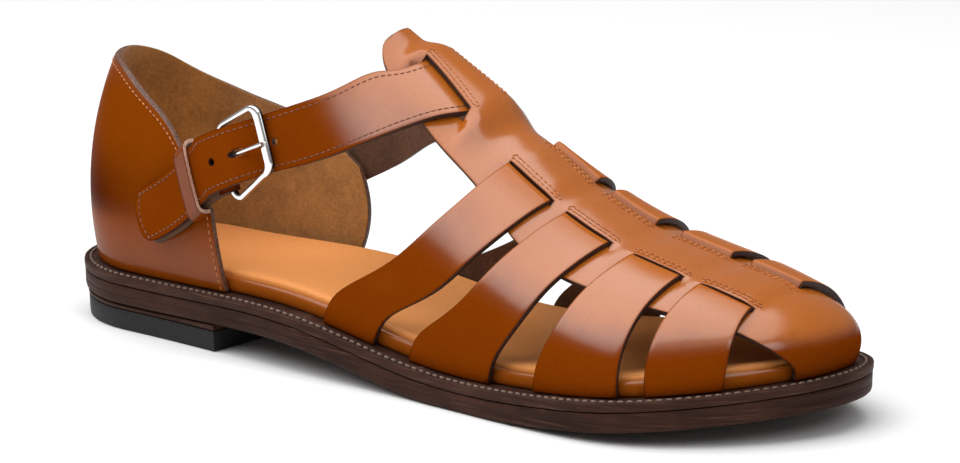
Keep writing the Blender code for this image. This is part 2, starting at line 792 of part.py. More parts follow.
def path_strip(name, band, path, thickness, low, high, paint, group):
    """A strip that folds over itself: a path of (along, lift) points given a thickness."""
    path = np.array(path, float)
    points = []
    faces = []
    for k in range(len(path)):
        before = path[max(k - 1, 0)]
        after = path[min(k + 1, len(path) - 1)]
        heading = (after - before) / np.linalg.norm(after - before)
        normal = np.array((-heading[1], heading[0]))
        for w, sign in ((low, -0.5), (high, -0.5), (high, 0.5), (low, 0.5)):
            s, lift = path[k] + normal * thickness * sign
            points.append(tuple(band.at(s, w, lift)))
    for k in range(len(path) - 1):
        for i in range(4):
            j = (i + 1) % 4
            faces.append((4 * k + i, 4 * k + j, 4 * k + 4 + j, 4 * k + 4 + i))
    faces.append((0, 1, 2, 3))
    end = 4 * (len(path) - 1)
    faces.append((end + 3, end + 2, end + 1, end))
    return add_object(name, mesh_from(name, points, faces), paint, group)


def cutter(name, mesh, group):
    body = bpy.data.objects.new(name, mesh)
    group.objects.link(body)
    body.hide_render = True
    body.display_type = "WIRE"
    return body


def cut(body, tool):
    change = body.modifiers.new("cut_" + tool.name, "BOOLEAN")
    change.operation = "DIFFERENCE"
    change.object = tool


def punch(name, band, s, half_length, half_width, group):
    """An oval punch through the ankle strap at a distance along it."""
    mesh = bpy.data.meshes.new(name)
    edit = bmesh.new()
    basis = Matrix([Vector(axis) for axis in band.axes(s)]).transposed().to_4x4()
    where = place(band.at(s, 0.5, lift_at(s) + STRAP_WALL / 2))
    size = Matrix.Diagonal((half_length * MM, half_width * MM, 5 * STRAP_WALL * MM, 1.0))
    bmesh.ops.create_cone(
        edit, cap_ends=True, segments=14, radius1=1.0, radius2=1.0, depth=1.0,
        matrix=Matrix.Translation(where) @ basis @ size)
    edit.to_mesh(mesh)
    edit.free()
    return cutter(name, mesh, group)


def wire_piece(name, points, radius, paint, group):
    """A round wire along points, as a curve with filled ends."""
    data = bpy.data.curves.new(name, "CURVE")
    data.dimensions = "3D"
    data.bevel_depth = radius * MM
    data.bevel_resolution = 2
    data.use_fill_caps = True
    spline = data.splines.new("POLY")
    spline.points.add(len(points) - 1)
    for point, target in zip(points, spline.points):
        target.co = (*place(point), 1.0)
    body = bpy.data.objects.new(name, data)
    data.materials.append(paint)
    group.objects.link(body)
    return body


def lift_at(s):
    """The ankle strap's lift off its base face at a distance along it."""
    distances = [p[0] for p in STRAP_LIFT]
    lifts = [p[1] for p in STRAP_LIFT]
    if s >= distances[-1]:
        return lifts[-1]
    i = int(np.searchsorted(distances, s, side="right")) - 1
    return lifts[i] + (lifts[i + 1] - lifts[i]) * smooth(s, distances[i], distances[i + 1])


def build_fastening(group, cutters):
    """Ankle strap, its buckle tab, keeper, buckle frame and prong."""
    strap_leather = material("strap_leather", (0.33, 0.085, 0.014), 0.35)
    tab_leather = material("tab_leather", (0.31, 0.080, 0.013), 0.38)
    keeper_leather = material("keeper_leather", (0.29, 0.072, 0.012), 0.38)
    steel = material("polished_steel", (0.78, 0.76, 0.74), 0.12, 1.0)
    prong_steel = material("prong_steel", (0.78, 0.76, 0.74), 0.15, 1.0)
    band = Band(strap_rows())

    # Ankle strap with a rounded tail and punched holes
    profile = []
    count = 62
    for k in range(count + 1):
        s = band.length * k / count
        lift = lift_at(s)
        profile.append((s, lift, lift + STRAP_WALL))

    def narrow(s):
        f = min(max(min(s, band.length - s), 0.0) / TAIL_ROUND, 1.0)
        return TAIL_TAPER * (1 - math.sqrt(1 - (1 - f) ** 2))

    strap = strip("ankle_strap", band, profile, narrow, lambda s: 1 - narrow(s), strap_leather, group)
    for number, s in enumerate(HOLES_AT):
        cut(strap, punch("hole_%d" % number, band, s, HOLE, HOLE, cutters))
    cut(strap, punch("prong_hole", band, PRONG_HOLE_AT, *PRONG_HOLE, cutters))

    # Buckle frame: a rounded rectangle of wire, its pivot bar inside the tab's fold
    pivot_lift = FIT_GAP + CHAPE + FIT_GAP + WIRE
    outer_lift = lift_at(PIVOT_AT + FRAME_REACH) + STRAP_WALL + FIT_GAP + WIRE + 0.5
    along, across, out = band.axes(PIVOT_AT)
    pivot = band.at(PIVOT_AT, 0.5, pivot_lift)
    reach = band.at(PIVOT_AT + FRAME_REACH, 0.5, outer_lift) - pivot
    length = float(np.linalg.norm(reach))
    reach /= length
    normal = np.cross(reach, across)
    if np.dot(normal, out) < 0:
        normal = -normal
    points = []
    faces = []
    bars = len(BAR_SECTION)
    for number, (end, side) in enumerate(((0, -1), (1, -1), (1, 1), (0, 1))):
        for k in range(5):
            angle = math.radians(180 + 90 * number + 22.5 * k)
            for inset, rise in BAR_SECTION:
                radius = FRAME_CORNER + WIRE * (1 - inset)
                middle_s = FRAME_CORNER if end == 0 else length - FRAME_CORNER
                middle_w = side * (FRAME_WIDTH / 2 - FRAME_CORNER)
                wide = OUTER_BAR if end == 1 else 1.0
                s = middle_s + (radius * wide - (wide - 1) * FRAME_CORNER) * math.cos(angle)
                w = middle_w + radius * math.sin(angle)
                points.append(tuple(pivot + reach * s + across * w + normal * WIRE * rise))
    turns = len(points) // bars
    for k in range(turns):
        for i in range(bars):
            j = (i + 1) % bars
            n = (k + 1) % turns
            faces.append((k * bars + i, k * bars + j, n * bars + j, n * bars + i))
    add_object("buckle_frame", mesh_from("buckle_frame", points, faces), steel, group)

    # Prong: hooked round the pivot bar, up through the strap, resting on the frame's outer bar
    hook = WIRE + FIT_GAP + PRONG_WIRE
    prong = []
    for k in range(7):
        angle = math.radians(300 - 35 * k)
        prong.append(tuple(pivot + reach * hook * math.cos(angle) + normal * hook * math.sin(angle)))
    tip = length + WIRE + 0.6
    for s, lift in ((6.5, 0.0), (12.5, 0.85), (length - 2.5, 1.0), (tip, 1.0)):
        prong.append(tuple(pivot + reach * s + normal * (hook + (outer_lift - pivot_lift) * 0.3 * lift)))
    wire_piece("buckle_prong", prong, PRONG_WIRE, prong_steel, group)

    # Tab: sewn on the quarter, folded round the pivot bar, with a slot for the prong
    turn_radius = WIRE + FIT_GAP + CHAPE / 2
    path = [(s, FIT_GAP + CHAPE / 2) for s in (2.0, 12, 22, 32, 40, PIVOT_AT)]
    for k in range(1, 7):
        angle = math.radians(-90 + 30 * k)
        path.append((PIVOT_AT + turn_radius * math.cos(angle), pivot_lift + turn_radius * math.sin(angle)))
    path.append((PIVOT_AT - 4.0, pivot_lift + turn_radius))
    tab = path_strip("buckle_tab", band, path, CHAPE, 0.06, 0.94, tab_leather, group)
    slot = bpy.data.meshes.new("tab_slot")
    edit = bmesh.new()
    bmesh.ops.create_cube(edit, size=1.0)
    edit.to_mesh(slot)
    edit.free()
    slot_body = cutter("tab_slot", slot, cutters)
    basis = Matrix((Vector(reach), Vector(across), Vector(normal))).transposed().to_4x4()
    where = place(pivot + reach * 0.6 + normal * 0.9)
    slot_body.matrix_world = Matrix.Translation(where) @ basis @ Matrix.Diagonal(
        (8.4 * MM, 2.8 * MM, 7.4 * MM, 1.0))
    cut(tab, slot_body)

    # Keeper: an arch over the strap, its two feet on the quarter
    arch = []
    top = lift_at(KEEPER_AT) + STRAP_WALL + FIT_GAP
    for w, lift in ((-0.09, FIT_GAP), (-0.09, top * 0.7), (-0.03, top + 0.1), (0.3, top + 0.3),
                    (0.7, top + 0.3), (1.03, top + 0.1), (1.09, top * 0.7), (1.09, FIT_GAP)):
        arch.append((w, lift))
    points = []
    faces = []
    wall_w = KEEPER_WALL / 19.0
    for k, (w, lift) in enumerate(arch):
        grow_w = (-wall_w if w < 0.5 else wall_w) if k in (0, 1, 6, 7) else (w - 0.5) * 2 * wall_w * 0.6
        grow_lift = 0.0 if k in (0, 7) else KEEPER_WALL * (0.35 if k in (1, 6) else 1.0)
        for s in (KEEPER_AT - KEEPER_WIDTH / 2, KEEPER_AT + KEEPER_WIDTH / 2):
            points.append(tuple(band.at(s, w, lift)))
            points.append(tuple(band.at(s, w + grow_w, lift + grow_lift)))
    for k in range(len(arch) - 1):
        a = 4 * k
        b = 4 * k + 4
        faces += [(a, b, b + 1, a + 1), (a + 1, b + 1, b + 3, a + 3),
                  (a + 3, b + 3, b + 2, a + 2), (a + 2, b + 2, b, a)]
    faces.append((0, 1, 3, 2))
    end = 4 * (len(arch) - 1)
    faces.append((end, end + 2, end + 3, end + 1))
    add_object("keeper", mesh_from("keeper", points, faces), keeper_leather, group)


def build():
    clear_scene()
    group = collection("fisherman_sandal")
    cutters = collection("cutters")
    build_sole(group)
    build_insole(group)
    build_vamp(group)
    build_quarter(group)
    build_fastening(group, cutters)


build()
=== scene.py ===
import math

import bmesh
import bpy
import numpy as np
from mathutils import Matrix, Vector, kdtree


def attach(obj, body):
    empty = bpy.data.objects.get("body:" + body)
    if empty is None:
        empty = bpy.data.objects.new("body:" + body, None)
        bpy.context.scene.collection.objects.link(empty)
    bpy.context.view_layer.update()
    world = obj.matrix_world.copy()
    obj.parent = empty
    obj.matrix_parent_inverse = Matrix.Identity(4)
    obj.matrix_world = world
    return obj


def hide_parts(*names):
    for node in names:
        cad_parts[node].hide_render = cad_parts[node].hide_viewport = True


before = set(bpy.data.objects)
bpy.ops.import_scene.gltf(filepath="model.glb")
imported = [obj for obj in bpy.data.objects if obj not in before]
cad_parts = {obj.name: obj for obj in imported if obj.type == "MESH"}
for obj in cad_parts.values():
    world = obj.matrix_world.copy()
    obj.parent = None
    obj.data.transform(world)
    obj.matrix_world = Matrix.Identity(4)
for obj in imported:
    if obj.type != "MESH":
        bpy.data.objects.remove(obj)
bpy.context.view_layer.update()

# The last and the sole's outline: the form that every leather piece is drawn over.
# Tables are in millimetres, from the back of the heel (0) to the tip of the toe, minus on the outer side.
MM = 0.001
LENGTH = 300.0
GAP = 0.35
LEDGE = 5.0
SOLE = {
    "along": (0, 60, 120, 170, 215, 255, 300),
    "middle": (1.0, 0.0, -3.7, -2.0, 2.5, 3.1, 13.4),
    "half_width": (33.7, 35.3, 38.0, 42.2, 51.0, 50.8, 43.9),
    "welt_top": (19.7, 19.0, 18.6, 10.6, 10.6, 14.2, 19.4),
}
LAST = {
    "along": (90, 110, 124, 150, 170, 188, 211, 238, 264, 280),
    "crest_across": (10, 10, 10, 10, 9, 7.5, 7, 8, 9, 10),
    "crest_height": (126, 114.5, 106.3, 92.5, 81.5, 71.3, 58.8, 50.2, 44.6, 40.5),
    "rise": (0.45, 0.45, 0.46, 0.50, 0.54, 0.56, 0.58, 0.60, 0.60, 0.60),
    "lean_outer": (2, 3, 4, 5, 5, 5, 5, 4, 3.5, 3),
    "lean_inner": (2, 2, 2, 1, 1, 2, 3, 3, 3, 3),
    "crown_outer": (0.50, 0.52, 0.56, 0.54, 0.52, 0.52, 0.56, 0.58, 0.60, 0.60),
    "crown_inner": (0.52, 0.54, 0.58, 0.56, 0.56, 0.57, 0.61, 0.64, 0.66, 0.66),
}
LAST_END = LAST["along"][-1]
TIP = LENGTH - LEDGE


def curve(along, values):
    """A natural cubic curve through the points of a table, as a function of numbers or arrays."""
    x = np.array(along, float)
    y = np.array(values, float)
    step = np.diff(x)
    matrix = np.eye(len(x))
    right = np.zeros(len(x))
    for i in range(1, len(x) - 1):
        matrix[i, i - 1:i + 2] = (step[i - 1], 2 * (step[i - 1] + step[i]), step[i])
        right[i] = 6 * ((y[i + 1] - y[i]) / step[i] - (y[i] - y[i - 1]) / step[i - 1])
    bend = np.linalg.solve(matrix, right)

    def at(value):
        value = np.clip(np.asarray(value, float), x[0], x[-1])
        i = np.clip(np.searchsorted(x, value) - 1, 0, len(x) - 2)
        a = (x[i + 1] - value) / step[i]
        b = (value - x[i]) / step[i]
        bent = (a ** 3 - a) * bend[i] + (b ** 3 - b) * bend[i + 1]
        return a * y[i] + b * y[i + 1] + bent * step[i] ** 2 / 6
    return at


def columns_of(table):
    keys = list(table)
    return {key: curve(table[keys[0]], table[key]) for key in keys[1:]}


sole = columns_of(SOLE)
last = columns_of(LAST)
welt_top = sole["welt_top"]


def smooth(value, start, end):
    f = np.clip((np.asarray(value, float) - start) / (end - start), 0.0, 1.0)
    return f * f * (3 - 2 * f)


def plan(x, side, inset):
    """The sole's outline moved in by an inset: its place across, on side -1 or +1."""
    heel = np.clip(1 - (x - inset) / (37.0 - inset), 0, 1)
    toe = np.clip(1 - (LENGTH - inset - x) / (59.5 - inset), 0, 1)
    rounding = np.sqrt(1 - heel ** 2) * (1 - toe ** 2.1) ** (1 / 2.1)
    return sole["middle"](x) + side * (sole["half_width"](x) - inset) * rounding


def section(x, t):
    """Points of the last, at t from the outer feather line (-1) over the crest (0) to the inner (+1)."""
    x, t = np.broadcast_arrays(np.asarray(x, float), np.asarray(t, float))
    side = np.where(t < 0, -1.0, 1.0)
    low = welt_top(x) + GAP
    top = last["crest_height"](x)
    v = np.clip((x - LAST_END) / (TIP - LAST_END), 0, 1)
    fallen = low + (top - (x - LAST_END) * 0.35 - low) * (1 - v ** 2.6) ** (1 / 2.2)
    top = np.where(x > LAST_END, fallen, top)
    across = last["crest_across"](x) + np.maximum(x - LAST_END, 0) * 0.1
    f = smooth(x, LENGTH - 12, TIP)
    across = across * (1 - f) + sole["middle"](x) * f
    foot = plan(x, side, LEDGE)
    lean = np.where(side < 0, last["lean_outer"](x), last["lean_inner"](x)) * np.clip((TIP - x) / 20, 0, 1)
    crown = np.where(side < 0, last["crown_outer"](x), last["crown_inner"](x))
    s = 1 - np.abs(t)
    weights = ((1 - s) ** 3, 3 * (1 - s) ** 2 * s, 3 * (1 - s) * s * s, s ** 3)
    width = np.abs(across - foot)
    rise = low + last["rise"](x) * (top - low)
    y = sum(w * p for w, p in zip(weights, (foot, foot + side * lean, across + side * crown * width, across)))
    z = sum(w * p for w, p in zip(weights, (low, rise, top, top)))
    swell = np.sin(math.pi * np.clip((z - low) / 24.0, 0, 1)) * smooth(x, 255, TIP)
    return np.stack((x + 3.4 * swell, y, z), -1)


def on_last(x, t, lift):
    """Points lifted off the last along its normal, level with the welt where they meet it."""
    x, t, lift = np.broadcast_arrays(np.asarray(x, float), np.asarray(t, float), np.asarray(lift, float))
    ahead = section(np.minimum(x + 0.4, TIP), t) - section(x - 0.4, t)
    over = section(x, np.minimum(t + 0.01, 1)) - section(x, np.maximum(t - 0.01, -1))
    normal = np.cross(ahead, over)
    size = np.linalg.norm(normal, axis=-1, keepdims=True)
    normal = np.where(size < 1e-6, np.array((1.0, 0.0, 0.0)), normal / np.maximum(size, 1e-9))
    points = section(x, t) + normal * lift[..., None]
    level = welt_top(points[..., 0]) + GAP
    points[..., 2] = np.where(np.abs(t) > 0.999, level, points[..., 2])
    pole = x > TIP - 0.01
    tip = np.stack((TIP + lift, sole["middle"](x), welt_top(x) + GAP), -1)
    return np.where(pole[..., None], tip, points)


girths = {}
STEPS = np.linspace(-1, 1, 121)


def girths_at(x):
    """The girths from the crest of the section's points at x, kept for the next time."""
    key = round(float(x), 4)
    if key not in girths:
        points = section(key, STEPS)
        length = np.concatenate(([0], np.cumsum(np.linalg.norm(np.diff(points, axis=0), axis=1))))
        girths[key] = length - length[len(STEPS) // 2]
    return girths[key]


def t_at(x, girth):
    """The place on the section at x that lies at a girth from the crest."""
    return np.interp(girth, girths_at(x), STEPS)


def side_girth(x, side):
    """The whole girth from the crest to the welt on one side."""
    return abs(girths_at(x)[0 if side < 0 else -1])


edge = np.linspace(0, LENGTH, 201)
MIDDLE = np.array((LENGTH / 2, (plan(edge, -1, 0).min() + plan(edge, 1, 0).max()) / 2, 0.0))


def metres(points):
    return (np.asarray(points, float) - MIDDLE) * MM


# Shader arithmetic: a socket that adds and multiplies like a number.
# Every material below is a small tree of these on object coordinates in millimetres.
class Shade:
    def __init__(self, tree, socket):
        self.tree = tree
        self.socket = socket

    def put(self, slot, value):
        """Links a socket to a slot, or sets the slot to a plain value."""
        if isinstance(value, Shade):
            self.tree.links.new(value.socket, slot)
        else:
            slot.default_value = value

    def math(self, operation, *others, flip=False):
        node = self.tree.nodes.new("ShaderNodeMath")
        node.operation = operation
        values = list(others) + [self] if flip else [self] + list(others)
        for slot, value in zip(node.inputs, values):
            self.put(slot, value)
        return Shade(self.tree, node.outputs[0])

    def __add__(self, other):
        return self.math("ADD", other)

    def __sub__(self, other):
        return self.math("SUBTRACT", other)

    def __mul__(self, other):
        return self.math("MULTIPLY", other)

    def __rsub__(self, other):
        return self.math("SUBTRACT", other, flip=True)

    __radd__ = __add__
    __rmul__ = __mul__

    def node(self, kind, output=0, settings=(), **inputs):
        """Another node of the same tree, fed by name, as one of its outputs."""
        node = self.tree.nodes.new(kind)
        for key, value in dict(settings).items():
            setattr(node, key, value)
        for key, value in inputs.items():
            self.put(node.inputs[key.replace("_", " ")], value)
        return Shade(self.tree, node.outputs[output])

    def ramp(self, start, end):
        """0 below start, 1 above end, smooth between."""
        return self.node("ShaderNodeMapRange", settings={"interpolation_type": "SMOOTHSTEP"},
                         Value=self, From_Min=start, From_Max=end)

    def noise(self, scale, detail=2.0, roughness=0.5):
        return self.node("ShaderNodeTexNoise", Vector=self, Scale=scale, Detail=detail, Roughness=roughness)

    def cells(self, scale, feature="F1"):
        return self.node("ShaderNodeTexVoronoi", settings={"feature": feature}, Vector=self, Scale=scale)

    def stretch(self, x, y, z):
        return self.node("ShaderNodeMapping", Vector=self, Scale=(x, y, z))

    def attribute(self, name):
        return self.node("ShaderNodeAttribute", output=2, settings={"attribute_name": name})

    def blend(self, one, two):
        """From colour one at 0 to colour two at 1."""
        node = self.tree.nodes.new("ShaderNodeMix")
        node.data_type = "RGBA"
        self.tree.links.new(self.socket, node.inputs[0])
        for slot, value in ((node.inputs[6], one), (node.inputs[7], two)):
            self.put(slot, value if isinstance(value, Shade) else (*value, 1.0))
        return Shade(self.tree, node.outputs[2])


def new_material(name, **fixed):
    """A material, its shader and its object coordinates in millimetres."""
    paint = bpy.data.materials.new(name)
    paint.use_nodes = True
    tree = paint.node_tree
    shader = tree.nodes["Principled BSDF"]
    for key, value in fixed.items():
        shader.inputs[key.replace("_", " ")].default_value = value
    place = Shade(tree, tree.nodes.new("ShaderNodeTexCoord").outputs["Object"])
    return paint, shader, place.stretch(1000, 1000, 1000)


def feed(shader, height=None, strength=0.3, distance=0.0002, **inputs):
    """Links colours and values to the shader, and a height to its normal."""
    for key, value in inputs.items():
        value.tree.links.new(value.socket, shader.inputs[key.replace("_", " ")])
    if height is not None:
        bump = height.node("ShaderNodeBump", Height=height, Strength=strength, Distance=distance)
        height.tree.links.new(bump.socket, shader.inputs["Normal"])


# Leather: tan full grain, burnished darker at cut edges and by the attributes each piece carries.
# rim is the distance to a cut edge in millimetres; burnish_and_shade is a darkness, burnished or painted
# shade, painted_top_light how far a face looks up, painted paler as if lit from above, painted_sheen the
# weight of the gloss, painted by facing and place where the light's reflection falls, all from 0 to 1.
def grain_leather(name, top, low, dark, rough=0.42, gloss=1.0):
    """Painted top light and painted sheen: paler and glossier where it faces up, deeper and duller where it
    faces sideways, as light from above would make it.
    """
    paint, shader, mm = new_material(name, Coat_Roughness=0.19, Coat_IOR=1.72, Specular_IOR_Level=0.0)
    mottle = mm.noise(0.045, 3.0, 0.55)
    speckle = mm.noise(0.9, 2.0, 0.6)
    pores = mm.cells(1.6, "DISTANCE_TO_EDGE").ramp(0.0, 0.35)
    near_edge = 1.0 - mm.attribute("rim").ramp(0.05, 0.9)
    painted_top_light = mm.attribute("painted_top_light")
    # Painted top light and shade: faces that look up take the paler top colour, faces that look sideways the
    # deeper low colour.
    tone = (painted_top_light + (mottle - 0.5) * 0.8).ramp(0.0, 1.0).blend(low, top)
    tone = (speckle.ramp(0.50, 0.78) * 0.16).blend(tone, dark)
    shadow = (mm.attribute("burnish_and_shade") + near_edge * 0.45 + (mottle - 0.5) * 0.2).ramp(0.0, 1.0)
    tone = shadow.blend(tone, dark)
    folds = mm.stretch(1.0, 0.35, 0.35).noise(0.22, 3.0, 0.6)
    height = pores * 0.25 + speckle * 0.35 + folds * 1.2
    # Painted sheen: the coat's weight is painted by which way the face looks and where it is, to put gloss
    # where the overhead light's reflection falls.
    painted_sheen = mm.attribute("painted_sheen") * (1.0 - near_edge * 0.6) * gloss
    feed(shader, height, 0.28, 0.0004, Base_Color=tone, Coat_Weight=painted_sheen,
         Roughness=speckle * 0.16 + mottle * 0.12 + (rough - 0.14))
    return paint


def fuzzy_leather(name, light, dark):
    """Suede, the flesh side: matt, with a short uneven nap."""
    paint, shader, mm = new_material(name, Roughness=0.95, Specular_IOR_Level=0.2, Sheen_Weight=0.35,
                                     Sheen_Roughness=0.5)
    nap = mm.noise(0.8, 4.0, 0.7)
    patch = mm.noise(0.07, 3.0, 0.6)
    tone = (nap * 0.6 + patch * 0.6 - 0.1).ramp(0.3, 0.75).blend(dark, light)
    feed(shader, nap, 0.5, 0.0005, Base_Color=tone)
    return paint


def cut_edge(name, light, dark, rough=0.6):
    """A cut and painted edge: fibres show as fine specks and lines."""
    paint, shader, mm = new_material(name, Specular_IOR_Level=0.4)
    fibres = mm.noise(1.4, 3.0, 0.65)
    feed(shader, fibres, 0.3, 0.0003, Base_Color=fibres.ramp(0.35, 0.7).blend(dark, light),
         Roughness=fibres * 0.2 + (rough - 0.1))
    return paint


# Each row: name, the paler colour painted on faces that look up as if lit from above, the deeper colour
# painted on faces that look sideways as painted shade, then the dark of burnish, edges and specks, and for
# some a roughness and a gloss.
tan, quarter_tan, rand_tan, sock_tan = [grain_leather(*row) for row in (
    ("tan_leather", (0.42, 0.108, 0.008), (0.195, 0.035, 0.0010), (0.060, 0.0095, 0.0012)),
    ("quarter_tan", (0.34, 0.080, 0.005), (0.210, 0.041, 0.0010), (0.070, 0.0110, 0.0012)),
    ("rand_tan", (0.34, 0.092, 0.012), (0.27, 0.062, 0.0050), (0.06, 0.010, 0.0020), 0.4, 0.6),
    ("sock_tan", (0.78, 0.31, 0.100), (0.70, 0.26, 0.070), (0.34, 0.10, 0.020), 0.55, 0.12),
)]
suede = fuzzy_leather("suede_lining", (0.50, 0.235, 0.055), (0.28, 0.120, 0.025))
flesh = fuzzy_leather("flesh_side", (0.16, 0.062, 0.020), (0.070, 0.024, 0.008))
dark_edge = cut_edge("dark_edge", (0.055, 0.019, 0.010), (0.016, 0.0055, 0.0035))
pale_edge = cut_edge("pale_edge", (0.78, 0.52, 0.40), (0.50, 0.27, 0.18))
brown_edge = cut_edge("brown_edge", (0.22, 0.10, 0.060), (0.060, 0.024, 0.014), 0.45)


# Sheet leather: a wall between an outer and an inner grid of points, with cut edges where cells are left
# out, its corners rounded, and each point's distance to a cut edge kept for the burnish.
def in_scene(name, data):
    """A new object, linked to the scene."""
    body = bpy.data.objects.new(name, data)
    bpy.context.scene.collection.objects.link(body)
    return body


def evaluated(body):
    """The mesh of an object with its modifiers applied."""
    bpy.context.view_layer.update()
    return bpy.data.meshes.new_from_object(body.evaluated_get(bpy.context.evaluated_depsgraph_get()))


def add_piece(name, mesh, replaced=()):
    piece = in_scene(name, mesh)
    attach(piece, "root")
    if replaced:
        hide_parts(*replaced)
    return piece


def joined_mesh(name, points, faces, kinds, corner=0.0):
    """A mesh with its doubled points joined, and the corners between its materials rounded."""
    mesh = bpy.data.meshes.new(name)
    mesh.from_pydata(points.tolist(), [], faces)
    mesh.polygons.foreach_set("material_index", kinds)
    work = bmesh.new()
    work.from_mesh(mesh)
    bmesh.ops.remove_doubles(work, verts=work.verts, dist=1e-6)
    bmesh.ops.dissolve_degenerate(work, edges=work.edges, dist=1e-6)
    bmesh.ops.delete(work, geom=[v for v in work.verts if not v.link_faces], context="VERTS")
    bmesh.ops.recalc_face_normals(work, faces=work.faces)
    if corner:
        lips = [e for e in work.edges if len({f.material_index for f in e.link_faces}) > 1]
        bmesh.ops.bevel(work, geom=lips, offset=corner * MM, segments=2, profile=0.6, affect="EDGES",
                        clamp_overlap=True, material=-1)
    work.to_mesh(mesh)
    work.free()
    return mesh


def sheet(name, outer, inner, paints, replaced=(), solid=None, burnish_and_shade=None, shine=None, corner=0.35):
    columns, rows = outer.shape[:2]
    count = columns * rows
    points = np.concatenate((metres(outer).reshape(-1, 3), metres(inner).reshape(-1, 3)))
    if solid is None:
        solid = np.ones((columns - 1, rows - 1), bool)
    faces = []
    kinds = []
    for i, j in zip(*np.nonzero(solid)):
        ring = [i * rows + j, (i + 1) * rows + j, (i + 1) * rows + j + 1, i * rows + j + 1]
        faces.append(ring)
        faces.append([corner_index + count for corner_index in ring[::-1]])
        kinds += [0, 2]
        for side, (m, n) in enumerate(((i, j - 1), (i + 1, j), (i, j + 1), (i - 1, j))):
            if 0 <= m < columns - 1 and 0 <= n < rows - 1 and solid[m, n]:
                continue
            a, b = ring[side], ring[(side + 1) % 4]
            faces.append([b, a, a + count, b + count])
            kinds.append(1)
    mesh = joined_mesh(name, points, faces, kinds, corner)
    for paint in paints:
        mesh.materials.append(paint)
    mark(mesh, burnish_and_shade, shine)
    mesh.shade_smooth()
    return add_piece(name, mesh, replaced)


def mark(mesh, burnish_and_shade=None, shine=None):
    """Writes rim, the burnish and painted shade, the painted top light and the painted sheen on a mesh whose
    cut edges have material 1; the last two come from which way each point faces.
    """
    places = np.array([v.co for v in mesh.vertices])
    lip = sorted({v for p in mesh.polygons if p.material_index == 1 for v in p.vertices})
    tree = kdtree.KDTree(len(lip))
    for v in lip:
        tree.insert(mesh.vertices[v].co, v)
    tree.balance()
    rim = [tree.find(v.co)[2] / MM if lip else 99.0 for v in mesh.vertices]
    amount = np.zeros(len(places)) if burnish_and_shade is None else burnish_and_shade(places / MM + MIDDLE)
    # Painted light: faces that look up are marked paler and glossier, as the light from above would make
    # them.
    facing = np.array([n.vector.z for n in mesh.vertex_normals])
    painted_top_light = smooth(facing, 0.30, 0.85)
    painted_sheen = smooth(facing, 0.28, 0.56)
    if shine is not None:
        painted_sheen = shine(places / MM + MIDDLE, painted_sheen)
    for name, values in (("rim", rim), ("burnish_and_shade", amount), ("painted_top_light", painted_top_light), ("painted_sheen", painted_sheen)):
        mesh.attributes.new(name, "FLOAT", "POINT").data.foreach_set("value", values)


# Welt, outsole, heel and insole: loops of the outline at an inset and a height, joined into skins.
# They follow the solids' sizes with four times their points, and their sides show the layers.
def loop(inset, height, stop=None, count=150):
    """A loop round the sole at an inset: outer side from the back, then inner side, back to front."""
    end = LENGTH - inset if stop is None else stop
    f = np.linspace(0, 1, count + 1)
    half = 2 if stop is not None else 1
    x = inset + (end - inset) * (1 - np.cos(math.pi * f / half)) / (2 / half)
    z = height(x) * np.ones(len(x))
    outer = np.stack((x, plan(x, -1, inset), z), -1)
    inner = np.stack((x, plan(x, 1, inset), z), -1)
    return np.concatenate((outer, (inner[1:] if stop is not None else inner[1:-1])[::-1]))


def over(extra):
    return lambda x: welt_top(x) + extra


def rings(*rows):
    """Loops at insets, and at heights over the welt's top."""
    return [loop(inset, over(height)) for inset, height in rows]


SOLE_THICK = 10.0
WELT_THICK = 3.2


def under(thickness, extra=0.0):
    """The outsole's lower face and what lies above it."""
    return lambda x: np.maximum(welt_top(x) - thickness, 0.0) + extra


def flat(z):
    return lambda x: z + 0 * x


def skin(name, loops, paint, replaced, ring=False, stop=None):
    """A skin through loops; the first and last are closed across unless it is a ring."""
    count = len(loops[0])
    points = metres(np.concatenate(loops))
    faces = []
    last_loop = len(loops) if ring else len(loops) - 1
    for k in range(last_loop):
        n = (k + 1) % len(loops)
        for i in range(count):
            j = (i + 1) % count
            faces.append((k * count + i, k * count + j, n * count + j, n * count + i))
    if not ring:
        half = (count + 1) // 2 if stop is not None else count // 2
        for first in (0, (len(loops) - 1) * count):
            for i in range(half):
                a, b = i, i + 1
                c, d = (count - i - 1) % count, (count - i) % count
                face = list(dict.fromkeys((first + a, first + b, first + c, first + d)))
                if len(face) > 2:
                    faces.append(face)
    mesh = joined_mesh(name, points, faces, [0] * len(faces))
    mesh.materials.append(paint)
    mark(mesh)
    mesh.shade_smooth()
    mesh.set_sharp_from_angle(angle=math.radians(40))
    return add_piece(name, mesh, replaced)


def layered_edge(name, light, dark, line):
    """A trimmed and waxed sole edge: fine level lines where the layers were pressed together."""
    paint, shader, mm = new_material(name, Specular_IOR_Level=0.08)
    streak = mm.stretch(0.05, 0.05, 1.4).noise(1.0, 4.0, 0.6)
    stain = mm.noise(0.05, 3.0, 0.6)
    tone = (streak * 0.7 + stain * 0.6 - 0.15).ramp(0.3, 0.75).blend(dark, light)
    tone = (streak.ramp(0.6, 0.68) * 0.4).blend(tone, line)
    feed(shader, streak, 0.35, 0.0004, Base_Color=tone, Roughness=streak * 0.2 + 0.44)
    return paint


edge_paint, lift_paint, welt_paint = [layered_edge(*row) for row in (
    ("sole_edge", (0.058, 0.0240, 0.0150), (0.024, 0.0095, 0.0065), (0.115, 0.060, 0.042)),
    ("lift_edge", (0.062, 0.0260, 0.0160), (0.026, 0.0100, 0.0068), (0.110, 0.055, 0.038)),
    ("welt_edge", (0.066, 0.0290, 0.0190), (0.030, 0.0120, 0.0083), (0.140, 0.077, 0.054)),
)]
rubber, rubber_shader, rubber_mm = new_material("heel_rubber", Specular_IOR_Level=0.25)
pitted = rubber_mm.noise(0.7, 3.0, 0.6)
feed(rubber_shader, pitted, 0.2, 0.0003, Roughness=pitted * 0.2 + 0.5,
     Base_Color=pitted.blend((0.008, 0.0075, 0.0075), (0.024, 0.022, 0.022)))

